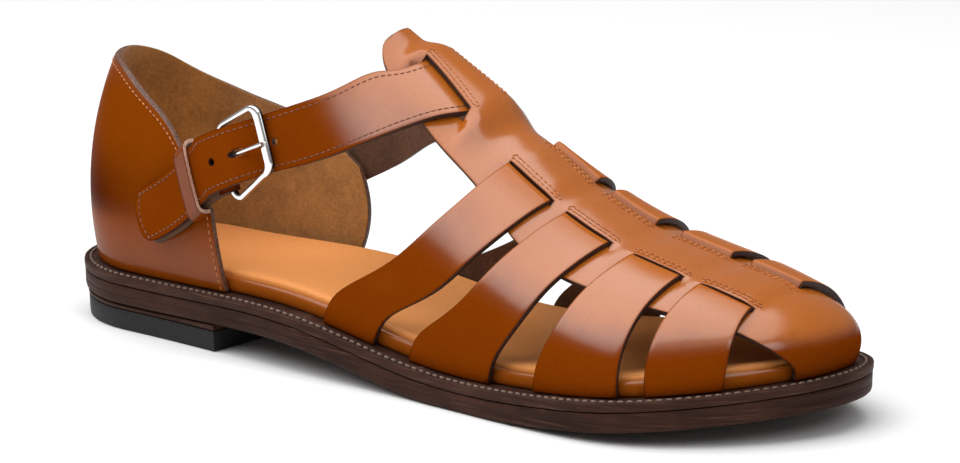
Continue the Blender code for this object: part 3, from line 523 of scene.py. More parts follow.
skin("outsole", [
    loop(2.2, under(SOLE_THICK)),
    loop(1.2, under(SOLE_THICK, 0.15)),
    loop(0.65, under(SOLE_THICK, 0.7)),
    loop(0.42, under(SOLE_THICK, 1.6)),
    *rings((0.38, -6.9), (0.50, -6.75), (0.38, -6.6), (0.30, -4.0), (0.55, -3.55)),
], edge_paint, ["outsole"])
skin("welt", rings(
    (0.55, -WELT_THICK), (0.2, -2.95), (0.06, -2.2), (0.0, -0.9), (0.12, -0.35), (0.5, -0.05), (1.0, 0.0),
    (1.5, -0.45), (2.5, -0.5), (3.4, -0.45), (3.9, 0.0), (14.0, 0.0), (14.0, -WELT_THICK),
), welt_paint, ["welt"], ring=True)
BREAST = 80.0
skin("heel_lift", [
    loop(1.8, flat(7.15), BREAST),
    loop(1.45, flat(7.5), BREAST),
    loop(1.2, under(SOLE_THICK, -0.6), BREAST),
    loop(1.6, under(SOLE_THICK, -0.35), BREAST),
], lift_paint, ["heel_lift"], stop=BREAST)
skin("heel_top_piece", [
    loop(2.7, flat(0.0), BREAST - 0.6),
    loop(2.0, flat(0.4), BREAST - 0.1),
    loop(1.8, flat(1.4), BREAST),
    loop(1.55, flat(6.4), BREAST),
    loop(1.8, flat(6.8), BREAST),
], rubber, ["heel_top_piece"], stop=BREAST)

skin("insole", rings(
    (14.35, -WELT_THICK), (14.35, GAP), (9.95, GAP), (9.95, 5.6), (10.6, 6.4), (11.6, 6.9), (13.0, 7.0),
    (18.0, 6.6), (25.0, 6.0),
), sock_tan, ["insole"])
skin("rand", rings(
    (8.0, 0.35), (7.6, 0.9), (7.5, 2.2), (7.55, 3.6), (7.9, 4.7), (8.5, 5.2), (9.2, 5.2), (9.6, 4.8),
    (9.6, 0.35),
), rand_tan, ["rand"], ring=True)

# Toe cap, centre piece and T: one leather cut with slits, wider and higher where a strap runs under it.
# The girths of slits and edges and the places of the straps are the solids' own.
CENTRE = {
    "along": (124, 138, 158, 178, 196, 226, 256, 278),
    "slit_outer": (-6.5, -7.5, -11.8, -15.0, -15.5, -16.8, -18.0, -17.0),
    "slit_inner": (6.0, 6.0, 5.5, 5.5, 5.5, 5.2, 6.0, 6.5),
    "edge_outer": (-17.0, -22.0, -28.0, -30.5, -35.5, -38.0, -35.7, -28.5),
    "edge_inner": (16.5, 20.0, 21.5, 22.0, 25.0, 26.5, 23.5, 17.0),
}
STRAPS = (
    {"foot": (128, 150), "slit": (181, 199)},
    {"foot": (165, 200), "slit": (205, 223)},
    {"foot": (219, 251), "slit": (232, 251)},
    {"foot": (259, 278), "slit": (258, 276)},
)
swing = curve((0, 0.2, 0.42, 0.6, 0.75, 0.87, 1), (0, 0.09, 0.27, 0.48, 0.72, 0.90, 1))
T_END = 124.0
T_ROUND = 8.0
T_SLIT = (137.9, 160.5)
CAP_FOOT = 290.8
CAP_TOP = 278.5
LEATHER = 1.9
centre = columns_of(CENTRE)


def tip_width(top):
    """How much of its width the T has near its rounded end."""
    s = np.clip((top - T_END) / T_ROUND, 0, 1)
    return 1 - 0.42 * (1 - np.sqrt(1 - (1 - s) ** 2))


def slit_width(top):
    return 3.6 if top < 170 else 2.0


def girth_at(top, side, zone, part):
    """Girth from the crest, in a zone: groove (1 at the centre piece, 0 at the margin) or margin."""
    sign = -1 if side == "outer" else 1
    slit = abs(centre["slit_" + side](top)) * tip_width(top)
    rim = abs(centre["edge_" + side](top)) * tip_width(top)
    opening = slit_width(top)
    if zone == "margin":
        return sign * (slit + opening + (rim - slit - opening) * part)
    return sign * (slit + opening * (1 - part))


def track(top, foot, rows, cap=False):
    """x and t of one line across the vamp, over (side, zone, part) rows; the cap keeps its first line's t."""
    x = []
    t = []
    at = min(top, CAP_TOP)
    for side, zone, part in rows:
        if side == "middle":
            low = t_at(at, girth_at(at, "outer", "groove", 1.0))
            high = t_at(at, girth_at(at, "inner", "groove", 1.0))
            x.append(top)
            t.append(low + (high - low) * part)
        elif zone == "side":
            rim_t = t_at(at, girth_at(at, side, "margin", 1.0))
            even = 1 - (1 - part) ** 2.7 if cap else 0.5 * part + 0.5 * smooth(part, 0, 1)
            x.append(top + (foot - top) * even)
            t.append(rim_t + ((-1 if side == "outer" else 1) - rim_t) * part)
        else:
            x.append(top)
            t.append(t_at(at, girth_at(at, side, zone, part)))
    return np.array(x), np.array(t)


SIDE_ROWS, MARGIN_ROWS, MIDDLE_ROWS = 22, 8, 16


def half_rows(side):
    """The grid's rows on one side, from the welt over the margin to the slit's two edges."""
    rows = [(side, "side", 1 - k / SIDE_ROWS) for k in range(SIDE_ROWS)]
    rows += [(side, "margin", 1 - k / MARGIN_ROWS) for k in range(MARGIN_ROWS)]
    return rows + [(side, "groove", g) for g in (0.0, 1.0)]


def centre_lift(top):
    """How far the centre piece stands off the last: over the ankle strap, and over the cross straps."""
    rise = smooth(top, T_SLIT[0] - 9, T_SLIT[0]) * (1 - smooth(top, T_SLIT[1], T_SLIT[1] + 14)) * 3.6
    rise += 0.6 * smooth(top, 172, 182) * (1 - smooth(top, 272, 280))
    for strap in STRAPS:
        a, b = strap["slit"]
        rise += 0.7 * smooth(top, a - 3, a + 4) * (1 - smooth(top, b - 4, b + 3))
    return float(rise)


base_rows = half_rows("outer")
base_rows += [("middle", "middle", k / MIDDLE_ROWS) for k in range(1, MIDDLE_ROWS)]
base_rows += half_rows("inner")[::-1]
lines = []
for x in T_END + T_ROUND * (1 - np.cos(np.linspace(0, 1, 9)[:-1] * math.pi / 2)):
    lines.append((x, x, "plain"))
marks = [T_END + T_ROUND, T_SLIT[0], T_SLIT[1]]
for strap in STRAPS:
    marks += [strap["slit"][0] - 0.4, strap["slit"][1] + 0.4]
marks.append(CAP_TOP)
for number, (start, end) in enumerate(zip(marks[:-1], marks[1:])):
    steps = max(2, int(round((end - start) / 1.3)))
    for k in range(steps):
        x = start + (end - start) * k / steps
        lines.append((x, x, "slit" if number % 2 == 1 else "plain"))
for k in range(29):
    f = math.sin(math.pi / 2 * k / 28)
    lines.append((CAP_TOP + (TIP - CAP_TOP) * f, CAP_FOOT + (TIP - CAP_FOOT) * f, "cap"))

grid_x = np.zeros((len(lines), len(base_rows)))
grid_t = np.zeros_like(grid_x)
lift = np.zeros_like(grid_x)
for i, (top, foot, band) in enumerate(lines):
    grid_x[i], grid_t[i] = track(top, foot, base_rows, band == "cap")
    hump = centre_lift(top)
    for j, (side, zone, part) in enumerate(base_rows):
        if zone == "middle" or (zone == "groove" and part == 1.0):
            lift[i, j] = hump
        elif band == "plain" and zone in ("groove", "margin"):
            away_from_slit = min(abs(top - place) for place in marks[1:-1])
            spread = (1 - part) ** 1.5 if zone == "margin" else 1.0
            lift[i, j] = hump * spread * float(smooth(away_from_slit, 0.0, 4.0))
solid = np.zeros((len(lines) - 1, len(base_rows) - 1), bool)
for i in range(len(lines) - 1):
    for j in range(len(base_rows) - 1):
        zones = {base_rows[j][1], base_rows[j + 1][1]}
        solid[i, j] = not (lines[i][2] == "slit" and zones == {"groove"})
        if "side" in zones:
            solid[i, j] = lines[i][2] == "cap"


def vamp_burnish(p):
    """Darker at the toe's tip and low down, and toward the tip of the T."""
    height = p[:, 2] - welt_top(p[:, 0])
    toe = 0.40 * smooth(p[:, 0], 268, 300) * (1 - smooth(height, 3, 18))
    return toe + 0.16 * smooth(-p[:, 0], -150, -124)


# Painted sheen: the vamp's gloss is weaker over the T, up to about 175 mm, and over the toe cap.
sheet("vamp_leather", on_last(grid_x, grid_t, lift), on_last(grid_x, grid_t, lift - LEATHER),
      [tan, dark_edge, flesh], ["vamp"], solid, vamp_burnish,
      lambda p, painted_sheen: painted_sheen * (0.72 + 0.28 * smooth(p[:, 0], 150, 175) - 0.2 * smooth(p[:, 0], 262, 280)))

# Cross straps: each runs from the welt over the margin, down through a slit, under the centre piece and
# out again on the other side, with its edges cut square and stained dark.
ARCH = {"outer": 1.9, "inner": 2.6}
UNDER = -0.75


def strap_burnish(p):
    """Darker near the welt."""
    return 0.30 * (1 - smooth(p[:, 2] - welt_top(p[:, 0]), 0, 7))


def strap_painted_sheen(p, painted_sheen):
    """Painted sheen: the gloss fades toward the outer slits, and the inner side is duller."""
    from_slit = last["crest_across"](p[:, 0]) + centre["slit_outer"](p[:, 0]) - p[:, 1]
    return painted_sheen * np.where(from_slit > 0, 0.40 + 0.60 * smooth(from_slit, 2, 12), 0.45)


for number, strap in enumerate(STRAPS):
    columns = []
    for w in np.linspace(0, 1, 15):
        top = strap["slit"][0] + (strap["slit"][1] - strap["slit"][0]) * w
        foot = strap["foot"][0] + (strap["foot"][1] - strap["foot"][0]) * w
        column = []
        for side, sign in (("outer", -1), ("inner", 1)):
            slit = abs(centre["slit_" + side](top))
            lip = slit + slit_width(top)
            whole = side_girth(foot, sign)
            run = []
            for q in np.linspace(1, 0, 33):
                place = top + (foot - top) * float(swing(q))
                t_place = t_at(place, sign * (lip + (whole - lip) * q)) if q < 1 else float(sign)
                run.append((place, t_place, ARCH[side] * (1 - smooth(q, 0.3, 0.9))))
            for part in (0.3, 0.6, 1.0):
                run.append((top, t_at(top, sign * (lip - (lip - slit) * part)),
                            ARCH[side] + (UNDER - ARCH[side]) * smooth(part, 0, 1)))
            if sign < 0:
                column += run
                column += [(top, t_at(top, slit * (2 * f - 1)), UNDER) for f in (0.2, 0.4, 0.6, 0.8)]
            else:
                column += run[::-1]
        columns.append(column)
    x, t, lift = np.moveaxis(np.array(columns, float), -1, 0)
    sheet("strap_%d" % (number + 1), on_last(x, t, lift), on_last(x, t, lift - LEATHER),
          [tan, dark_edge, flesh], burnish_and_shade=strap_burnish, shine=strap_painted_sheen, corner=0.3)

# Quarter: the heel's wall, leaning in to the collar, lined with suede and burnished low down and behind.
# Its top line rises from both front edges to the back of the heel.
QUARTER_TOP = curve(
    (-1.0, -0.9, -0.8, -0.65, -0.5, -0.25, 0.0, 0.12, 0.25, 0.37, 0.5, 0.65, 0.75, 0.9, 1.0),
    (47, 60, 70.5, 79, 85.3, 88.3, 88.6, 87, 83.5, 78.5, 74, 70.3, 68, 61, 52))
QUARTER_FOOT = 19.7
QUARTER_PEAK = 89.0


def wall_inset(z, depth):
    """How far the wall stands inside the sole's outline: it swells over the heel and leans in above it."""
    v = (z - QUARTER_FOOT) / (QUARTER_PEAK - QUARTER_FOOT)
    return LEDGE - (3.6 * 4 * v * (1 - v) - 6.8 * np.maximum(v, 0) ** 2.1) + depth


def wall(turn, z, depth):
    """Points of the heel's wall at a turn from -1 (outer front) over 0 (back) to +1 (inner front)."""
    side = np.where(turn < 0, -1.0, 1.0)
    f = np.clip((z - 19) / 30, 0, 1)
    bow = np.sin(math.pi * np.clip((z - 19) / 34, 0, 1))
    front = np.where(side < 0, 83.0 - 5.0 * f, 87.2 - 0.6 * f + 4.0 * bow)
    inset = wall_inset(z, depth)
    x = inset + (front - inset) * (1 - np.cos(math.pi * np.abs(turn) / 2))
    return np.stack((x, plan(x, side, inset), z), -1)


def quarter_grid(depth, across=141, up=34):
    turn = np.linspace(-1, 1, across)[:, None] * np.ones((1, up))
    foot = wall(turn, 19.0 + 0 * turn, depth)
    low = welt_top(foot[..., 0]) + GAP
    rise = np.linspace(0, 1, up)[None, :]
    return wall(turn, low + (QUARTER_TOP(turn) - low) * rise, depth)


def quarter_burnish(p):
    band = smooth(p[:, 2], 34, 42) * (1 - smooth(p[:, 2], 42, 70))
    behind = 1 - smooth(p[:, 0], 10, 60)
    return np.clip(band * (0.15 + 0.55 * behind) + 0.25 * behind, 0, 1)


def quarter_painted_sheen(p, painted_sheen):
    """Painted sheen: glossier low down and at the very back."""
    return painted_sheen + 0.30 * (1 - smooth(p[:, 2], 28, 46)) + 0.12 * (1 - smooth(p[:, 0], 4, 30))


sheet("quarter_leather", quarter_grid(0.0), quarter_grid(2.0), [quarter_tan, brown_edge, suede],
      ["quarter"], burnish_and_shade=quarter_burnish, shine=quarter_painted_sheen)

# Ankle strap: its path over the foot, from the tail past the buckle, through the T, to the inner quarter.
# A row of a run is a point of the upper and of the lower edge. A row of T_PASS is a share of the slit's
# girth (minus on the outer side), a girth beyond it, a lift, and both edges' places along the shoe.
OUTER_RUN = (
    ((46.0, -33.0, 48.5), (51.0, -33.2, 32.0)),
    ((55.3, -33.6, 54.0), (60.2, -34.2, 36.4)),
    ((65.0, -33.9, 60.5), (71.5, -35.0, 43.6)),
    ((73.6, -34.2, 68.5), (80.0, -35.2, 51.0)),
    ((88.2, -34.6, 76.2), (94.8, -35.6, 58.6)),
    ((102.3, -34.6, 82.0), (107.8, -35.6, 64.2)),
    ((112.5, -30.8, 86.0), (119.0, -32.9, 67.8)),
    ((122.5, -21.8, 90.6), (134.0, -26.4, 74.2)),
    ((130.5, -11.2, 95.2), (147.5, -15.8, 80.8)),
)
INNER_RUN = (
    ((131.0, 24.0, 95.0), (147.5, 23.5, 80.5)),
    ((122.0, 29.0, 88.5), (134.0, 28.2, 72.0)),
    ((108.0, 32.0, 80.5), (117.0, 31.6, 63.8)),
    ((94.0, 33.3, 73.0), (103.0, 34.0, 55.5)),
    ((80.0, 33.3, 65.5), (89.0, 35.0, 48.0)),
    ((66.0, 33.0, 58.5), (74.0, 34.8, 40.5)),
)
T_PASS = (
    (-1.0, -9.5, 0.9, 135.8, 155.2),
    (-1.0, -4.8, 0.6, 137.8, 158.2),
    (-1.0, 0.8, -0.8, 138.0, 160.0),
    (-0.2, 0.0, -0.9, 138.0, 160.0),
    (0.4, 0.0, -0.9, 138.0, 160.0),
    (1.0, -0.8, -0.8, 138.0, 160.0),
    (1.0, 4.8, 0.9, 138.0, 160.0),
    (1.0, 8.5, 1.1, 138.0, 160.0),
    (1.0, 12.0, 1.3, 137.0, 158.0),
)
STRAP_LIFT = ((0, 1.9), (26, 1.9), (34, 2.2), (42, 5.9), (52, 5.9), (63, 0.9), (74, 0.2), (86, 0.0))
STRAP_WALL = 2.0
path = [list(row) for row in OUTER_RUN]
for share, beyond, rise, upper_x, lower_x in T_PASS:
    row = []
    for x in (upper_x, lower_x):
        slit = centre["slit_outer" if share < 0 else "slit_inner"](x)
        row.append(on_last(x, t_at(x, slit * abs(share) + beyond), rise))
    path.append(row)
path += [list(row) for row in INNER_RUN]
upper_edge = np.array([row[0] for row in path], float)
lower_edge = np.array([row[1] for row in path], float)
middles = (upper_edge + lower_edge) / 2
stations = np.concatenate(([0], np.cumsum(np.linalg.norm(np.diff(middles, axis=0), axis=1))))
STRAP_LENGTH = float(stations[-1])
upper_curves = [curve(stations, upper_edge[:, k]) for k in range(3)]
lower_curves = [curve(stations, lower_edge[:, k]) for k in range(3)]


def band_base(s, w):
    low = np.stack([c(s) for c in lower_curves], -1)
    high = np.stack([c(s) for c in upper_curves], -1)
    return low + (high - low) * np.asarray(w)[..., None]


def band_axes(s):
    """Along, across (lower to upper) and outward at distances along the strap."""
    back = np.clip(s - 0.5, 0, STRAP_LENGTH - 1.0)
    along = band_base(back + 1.0, 0.5 + 0 * s) - band_base(back, 0.5 + 0 * s)
    across = band_base(s, 1.0 + 0 * s) - band_base(s, 0 * s)
    along /= np.linalg.norm(along, axis=-1, keepdims=True)
    across /= np.linalg.norm(across, axis=-1, keepdims=True)
    out = np.cross(along, across)
    return along, across, out / np.linalg.norm(out, axis=-1, keepdims=True)


def band_at(s, w, lift):
    s, w, lift = np.broadcast_arrays(np.asarray(s, float), np.asarray(w, float), np.asarray(lift, float))
    return band_base(s, w) + band_axes(s)[2] * lift[..., None]


def strap_lift(s):
    places = [p[0] for p in STRAP_LIFT]
    lifts = np.array([p[1] for p in STRAP_LIFT], float)
    i = np.clip(np.searchsorted(places, s, side="right") - 1, 0, len(places) - 2)
    start = np.array(places)[i]
    end = np.array(places)[i + 1]
    f = np.clip((s - start) / (end - start), 0, 1)
    return lifts[i] + (lifts[i + 1] - lifts[i]) * f * f * (3 - 2 * f)


END_ROUND = 6.5


def tail_inset(s, round_off=END_ROUND, taper=0.36):
    """How far the strap's rounded ends are drawn in at a distance along it."""
    f = np.clip(np.minimum(s, STRAP_LENGTH - s) / round_off, 0, 1)
    return taper * (1 - np.sqrt(1 - (1 - f) ** 2))


s = np.concatenate((END_ROUND * (1 - np.cos(np.linspace(0, 1, 9)[:-1] * math.pi / 2)),
                    np.linspace(END_ROUND, STRAP_LENGTH - END_ROUND, 190),
                    STRAP_LENGTH - END_ROUND * (1 - np.cos(np.linspace(1, 0, 9)[1:] * math.pi / 2))))[:, None]
w = np.linspace(0, 1, 17)[None, :]
w = tail_inset(s) + (1 - 2 * tail_inset(s)) * w
crown = 0.25 * np.sin(math.pi * np.clip(w, 0, 1))
# Painted sheen: the ankle strap is glossy only where it runs forward toward the T.
ankle = sheet("ankle_strap_leather", band_at(s, w, strap_lift(s) + STRAP_WALL + crown * 0.6),
              band_at(s, w, strap_lift(s)), [tan, dark_edge, flesh], ["ankle_strap"],
              burnish_and_shade=lambda p: 0.14 * (1 - smooth(p[:, 0], 50, 90)),
              shine=lambda p, painted_sheen: painted_sheen * (0.12 + 0.88 * smooth(p[:, 0], 108, 136)))


def punch(piece, place, radii, number):
    """Cuts an oval hole through the ankle strap and stains its wall."""
    axes = [Vector(a) for a in band_axes(np.array(float(place)))]
    middle = Vector(metres(band_at(place, 0.5, strap_lift(np.array(float(place))) + 1.0)))
    size = Matrix.Diagonal((radii[0] * MM, radii[1] * MM, 8 * MM, 1.0))
    mesh = bpy.data.meshes.new("punch_%d" % number)
    work = bmesh.new()
    bmesh.ops.create_cone(work, cap_ends=True, segments=28, radius1=1, radius2=1, depth=1,
                          matrix=Matrix.Translation(middle) @ Matrix(axes).transposed().to_4x4() @ size)
    work.to_mesh(mesh)
    work.free()
    mesh.materials.append(dark_edge)
    tool = in_scene("punch_%d" % number, mesh)
    cut = piece.modifiers.new("punch", "BOOLEAN")
    cut.operation = "DIFFERENCE"
    cut.solver = "EXACT"
    cut.material_mode = "TRANSFER"
    cut.object = tool
    cut_mesh = evaluated(piece)
    piece.modifiers.remove(cut)
    piece.data = cut_mesh
    bpy.data.objects.remove(tool, do_unlink=True)


for number, (place, radii) in enumerate(((46.0, (1.3, 1.3)), (69.0, (1.15, 1.15)), (56.6, (3.1, 1.3)))):
    punch(ankle, place, radii, number)

# Buckle: a polished frame with a broad outer bar, its prong hooked round the pivot, the leather tab that
# holds it on the quarter, and the keeper with its pale cut edge. The frame's flanks are painted nearly
# black, in place of the dark things that a polished flank mirrors.
PIVOT_AT = 47.5
REACH = 19.0
CORNER = 3.6
WIRE = 1.0
PRONG = 0.8
OUTER_BAR = 1.95
FRAME_ENDS = ((0, -1, -13.4), (1, -1, -9.4), (1, 1, 12.6), (0, 1, 11.0))
CHAPE = 1.0
steel, steel_shader, steel_mm = new_material("polished_steel", Metallic=1.0)
rubbed = steel_mm.stretch(0.3, 0.3, 2.0).noise(1.2, 3.0, 0.6)
bright = rubbed.blend((0.78, 0.77, 0.76), (0.90, 0.89, 0.88))
shaded = steel_mm.attribute("flank").blend(bright, (0.035, 0.026, 0.022))
feed(steel_shader, rubbed, 0.04, 0.0002, Base_Color=shaded, Roughness=rubbed * 0.08 + 0.07)
pivot_lift = GAP + CHAPE + GAP + WIRE
outer_lift = float(strap_lift(np.array(PIVOT_AT + REACH))) + STRAP_WALL + GAP + WIRE + 0.5
along, across, out = band_axes(np.array(PIVOT_AT))
pivot = band_at(PIVOT_AT, 0.5, pivot_lift)
reach = band_at(PIVOT_AT + REACH, 0.5, outer_lift) - pivot
bar = float(np.linalg.norm(reach))
reach /= bar
normal = np.cross(reach, across)
normal *= np.sign(np.dot(normal, out))


def squared(value):
    """A sine or cosine pushed outward, which makes the wire's section a rounded square."""
    return math.copysign(abs(value) ** 0.6, value)


profile = [(1 - squared(math.cos(a)), squared(math.sin(a))) for a in np.linspace(0, 2 * math.pi, 17)[:-1]]
points = []
flank = []
for number, (end, side, reached) in enumerate(FRAME_ENDS):
    wide = OUTER_BAR if end else 1.0
    for k in range(13):
        angle = math.radians(180 + 90 * number + 7.5 * k)
        for inset, rise in profile:
            radius = CORNER + WIRE * (1 - inset)
            from_pivot = CORNER if end == 0 else bar - CORNER
            u = from_pivot + (radius * wide - (wide - 1) * CORNER) * math.cos(angle)
            v = reached - side * CORNER + radius * math.sin(angle)
            points.append(pivot + reach * u + across * v + normal * WIRE * rise)
            flank.append(1 - float(smooth(rise, 0.25, 0.8)))
turns = len(points) // len(profile)
faces = []
for k in range(turns):
    for i in range(len(profile)):
        a, b = k * len(profile), (k + 1) % turns * len(profile)
        j = (i + 1) % len(profile)
        faces.append((a + i, a + j, b + j, b + i))
mesh = bpy.data.meshes.new("buckle_frame_metal")
mesh.from_pydata(metres(points).tolist(), [], faces)
mesh.materials.append(steel)
mesh.attributes.new("flank", "FLOAT", "POINT").data.foreach_set("value", flank)
mesh.shade_smooth()
add_piece("buckle_frame_metal", mesh, ["buckle_frame"])

hook = WIRE + GAP + PRONG
prong = [pivot + reach * hook * math.cos(math.radians(a)) + normal * hook * math.sin(math.radians(a))
         for a in range(300, 80, -15)]
climb = (outer_lift - pivot_lift) * 0.3
reaches = curve((0, 6.5, 12.5, bar - 2.5, bar + WIRE + 0.6), (0, 0.0, 0.85, 1.0, 1.0))
for u in np.linspace(2.0, bar + WIRE + 0.8, 22):
    prong.append(pivot + reach * u + normal * (hook + climb * float(reaches(u))))
wire = bpy.data.curves.new("prong_path", "CURVE")
wire.dimensions = "3D"
wire.bevel_depth = PRONG * MM
wire.bevel_resolution = 5
wire.use_fill_caps = True
spline = wire.splines.new("POLY")
spline.points.add(len(prong) - 1)
for number, (target, point) in enumerate(zip(spline.points, prong)):
    target.co = (*metres(point), 1.0)
    target.radius = 1.0 if number < len(prong) - 2 else 0.75
maker = in_scene("prong_path", wire)
mesh = evaluated(maker)
bpy.data.objects.remove(maker, do_unlink=True)
mesh.materials.clear()
mesh.materials.append(steel)
mesh.shade_smooth()
add_piece("buckle_prong_metal", mesh, ["buckle_prong"])

turn = WIRE + GAP + CHAPE / 2
fold = [(u, GAP + CHAPE / 2) for u in np.linspace(1.0, PIVOT_AT, 40)]
fold += [(PIVOT_AT + turn * math.cos(a), pivot_lift + turn * math.sin(a))
         for a in np.linspace(-math.pi / 2, math.pi / 2, 13)[1:]]
fold += [(PIVOT_AT - u, pivot_lift + turn) for u in (1.5, 3.0, 4.5)]
fold = np.array(fold)
heading = np.gradient(fold, axis=0)
heading /= np.linalg.norm(heading, axis=1, keepdims=True)
away = np.stack((-heading[:, 1], heading[:, 0]), -1) * CHAPE / 2
w = np.linspace(0, 1, 9)[None, :]
ends = tail_inset(np.maximum(fold[:, 0] - 1.0, 0), 5.0, 0.3)[:, None] * (np.arange(len(fold)) < 20)[:, None]
w = -0.07 + ends + (0.97 - 2 * ends) * w
low_side = fold + away
high_side = fold - away
# Painted shade: the whole tab is darkened, as it lies in the shade under the strap and the buckle.
sheet("buckle_tab_leather", band_at(high_side[:, :1], w, high_side[:, 1:]),
      band_at(low_side[:, :1], w, low_side[:, 1:]), [quarter_tan, dark_edge, flesh],
      ["buckle_tab"], burnish_and_shade=lambda p: 0.6 + 0 * p[:, 0], corner=0.2)

KEEPER_AT = 29.5
top = float(strap_lift(np.array(KEEPER_AT))) + STRAP_WALL + GAP
STRAP_WIDTH = 18.8
arch = np.array((
    (-0.10, GAP), (-0.105, 0.35 * top), (-0.09, 0.75 * top), (-0.03, top + 0.1),
    (0.1, top + 0.35), (0.35, top + 0.5), (0.65, top + 0.5), (0.9, top + 0.35),
    (1.03, top + 0.1), (1.09, 0.75 * top), (1.105, 0.35 * top), (1.10, GAP)))
steps = np.linspace(0, len(arch) - 1, 56)
arch = np.stack([curve(np.arange(len(arch)), arch[:, k])(steps) for k in range(2)], -1)
heading = np.gradient(arch * (STRAP_WIDTH, 1.0), axis=0)
heading /= np.linalg.norm(heading, axis=1, keepdims=True)
away = np.stack((-heading[:, 1] / STRAP_WIDTH, heading[:, 0]), -1) * 1.3
s = KEEPER_AT + np.linspace(-2.9, 2.9, 7)[None, :]
inside = band_at(s, arch[:, :1], arch[:, 1:])
outside = band_at(s, (arch + away)[:, :1], np.maximum((arch + away)[:, 1:], GAP))
# Painted sheen: the keeper's gloss is raised by 0.5 everywhere.
sheet("keeper_leather", outside, inside, [quarter_tan, pale_edge, flesh], ["keeper"],
      burnish_and_shade=lambda p: 0.3 + 0 * p[:, 0], shine=lambda p, painted_sheen: painted_sheen + 0.5, corner=0.3)

# Stitches: one geometry tree lays balls along rows of points on the leather, drawn out into stitches of
# thread, and again as small dark balls between them, painted shade standing for the needle holes. Each group
# of rows is one piece.
stitch_tree = bpy.data.node_groups.new("stitch_rows", "GeometryNodeTree")
face = stitch_tree.interface
face.new_socket("Rows", in_out="INPUT", socket_type="NodeSocketGeometry")
keys = {}
for label, kind, default in (
    ("Pitch", "NodeSocketFloat", 0.0028),
    ("Size", "NodeSocketVector", (0.001, 0.0003, 0.0003)),
    ("Thread", "NodeSocketMaterial", None),
):
    made = face.new_socket(label, in_out="INPUT", socket_type=kind)
    if default is not None:
        made.default_value = default
    keys[label] = made.identifier
face.new_socket("Geometry", in_out="OUTPUT", socket_type="NodeSocketGeometry")
given, result, to_curve, resample, tangent, align, ball, place, real, paint_node, soften = [
    stitch_tree.nodes.new(kind) for kind in (
        "NodeGroupInput", "NodeGroupOutput", "GeometryNodeMeshToCurve", "GeometryNodeResampleCurve",
        "GeometryNodeInputTangent", "FunctionNodeAlignRotationToVector", "GeometryNodeMeshUVSphere",
        "GeometryNodeInstanceOnPoints", "GeometryNodeRealizeInstances", "GeometryNodeSetMaterial",
        "GeometryNodeSetShadeSmooth")]
resample.mode = "LENGTH"
align.axis = "X"
for label, value in (("Segments", 8), ("Rings", 6), ("Radius", 1.0)):
    ball.inputs[label].default_value = value
for source, output, fed, slot in (
    (given, "Rows", to_curve, "Mesh"),
    (to_curve, "Curve", resample, "Curve"),
    (given, "Pitch", resample, "Length"),
    (resample, "Curve", place, "Points"),
    (tangent, "Tangent", align, "Vector"),
    (align, "Rotation", place, "Rotation"),
    (ball, "Mesh", place, "Instance"),
    (given, "Size", place, "Scale"),
    (place, "Instances", real, "Geometry"),
    (real, "Geometry", soften, "Geometry"),
    (soften, "Geometry", paint_node, "Geometry"),
    (given, "Thread", paint_node, "Material"),
    (paint_node, "Geometry", result, "Geometry"),
):
    stitch_tree.links.new(source.outputs[output], fed.inputs[slot])


def thread_paint(name, light, dark):
    paint, shader, mm = new_material(name, Specular_IOR_Level=0.4, Sheen_Weight=0.2)
    ply = mm.noise(2.2, 2.0, 0.5)
    feed(shader, ply, 0.4, 0.0002, Base_Color=ply.ramp(0.35, 0.65).blend(dark, light),
         Roughness=ply * 0.2 + 0.45)
    return paint


amber_thread = thread_paint("amber_thread", (0.62, 0.22, 0.045), (0.36, 0.090, 0.014))
rust_thread = thread_paint("rust_thread", (0.26, 0.075, 0.022), (0.12, 0.030, 0.010))
welt_thread = thread_paint("welt_thread", (0.25, 0.165, 0.115), (0.12, 0.070, 0.048))
# Painted shade: the needle holes are small dark balls standing for the shade inside them.
hole_shade_paint = cut_edge("needle_hole_shade", (0.03, 0.008, 0.004), (0.012, 0.004, 0.003))


def along_row(row, offset):
    """The same row from a distance further on, so that holes fall between stitches."""
    row = np.array(row, float)
    steps = np.concatenate(([0], np.cumsum(np.linalg.norm(np.diff(row, axis=0), axis=1))))
    wanted = np.linspace(offset, steps[-1] - offset, max(3, int(steps[-1] / 0.9)))
    return np.stack([np.interp(wanted, steps, row[:, k]) for k in range(3)], -1)


def grow(name, rows, pitch, size, paint):
    points = np.concatenate([metres(row) for row in rows])
    edges = []
    first = 0
    for row in rows:
        edges += [(first + k, first + k + 1) for k in range(len(row) - 1)]
        first += len(row)
    mesh = bpy.data.meshes.new(name)
    mesh.from_pydata(points.tolist(), edges, [])
    maker = in_scene(name, mesh)
    change = maker.modifiers.new("rows", "NODES")
    change.node_group = stitch_tree
    change[keys["Pitch"]] = pitch * MM
    change[keys["Size"]] = [v * MM for v in size]
    change[keys["Thread"]] = paint
    made = evaluated(maker)
    bpy.data.objects.remove(maker, do_unlink=True)
    return made


def stitches(name, rows, thread, pitch=2.6, width=0.26):
    """A piece of thread along rows, with a dark ball of painted shade for the needle hole at each end of
    every stitch.
    """
    rows = [np.array(row, float) for row in rows]
    threads = grow(name, rows, pitch, (pitch * 0.38, width, width * 1.2), thread)
    holes = grow(name + "_holes", [along_row(row, pitch / 2) for row in rows], pitch,
                 (width * 0.8, width * 0.8, width * 0.7), hole_shade_paint)
    add_piece(name, threads)
    add_piece(name + "_holes", holes)


rows = []
for side, sign in (("outer", -1), ("inner", 1)):
    for a, b in [T_SLIT] + [strap["slit"] for strap in STRAPS]:
        near = np.linspace(a - 0.6, b + 0.6, 26)
        ring = [(top, 1.5) for top in near] + [(b + 1.1, f) for f in (2.0, 2.6)]
        ring += [(top, 3.1) for top in near[::-1]] + [(a - 1.1, f) for f in (2.6, 2.0)]
        rows.append([on_last(top, t_at(top, girth_at(top, side, "groove", 1.0) - sign * f),
                             centre_lift(top) + 0.1) for top, f in ring + ring[:1]])
stitches("slit_stitches", rows, amber_thread, 2.1, 0.22)

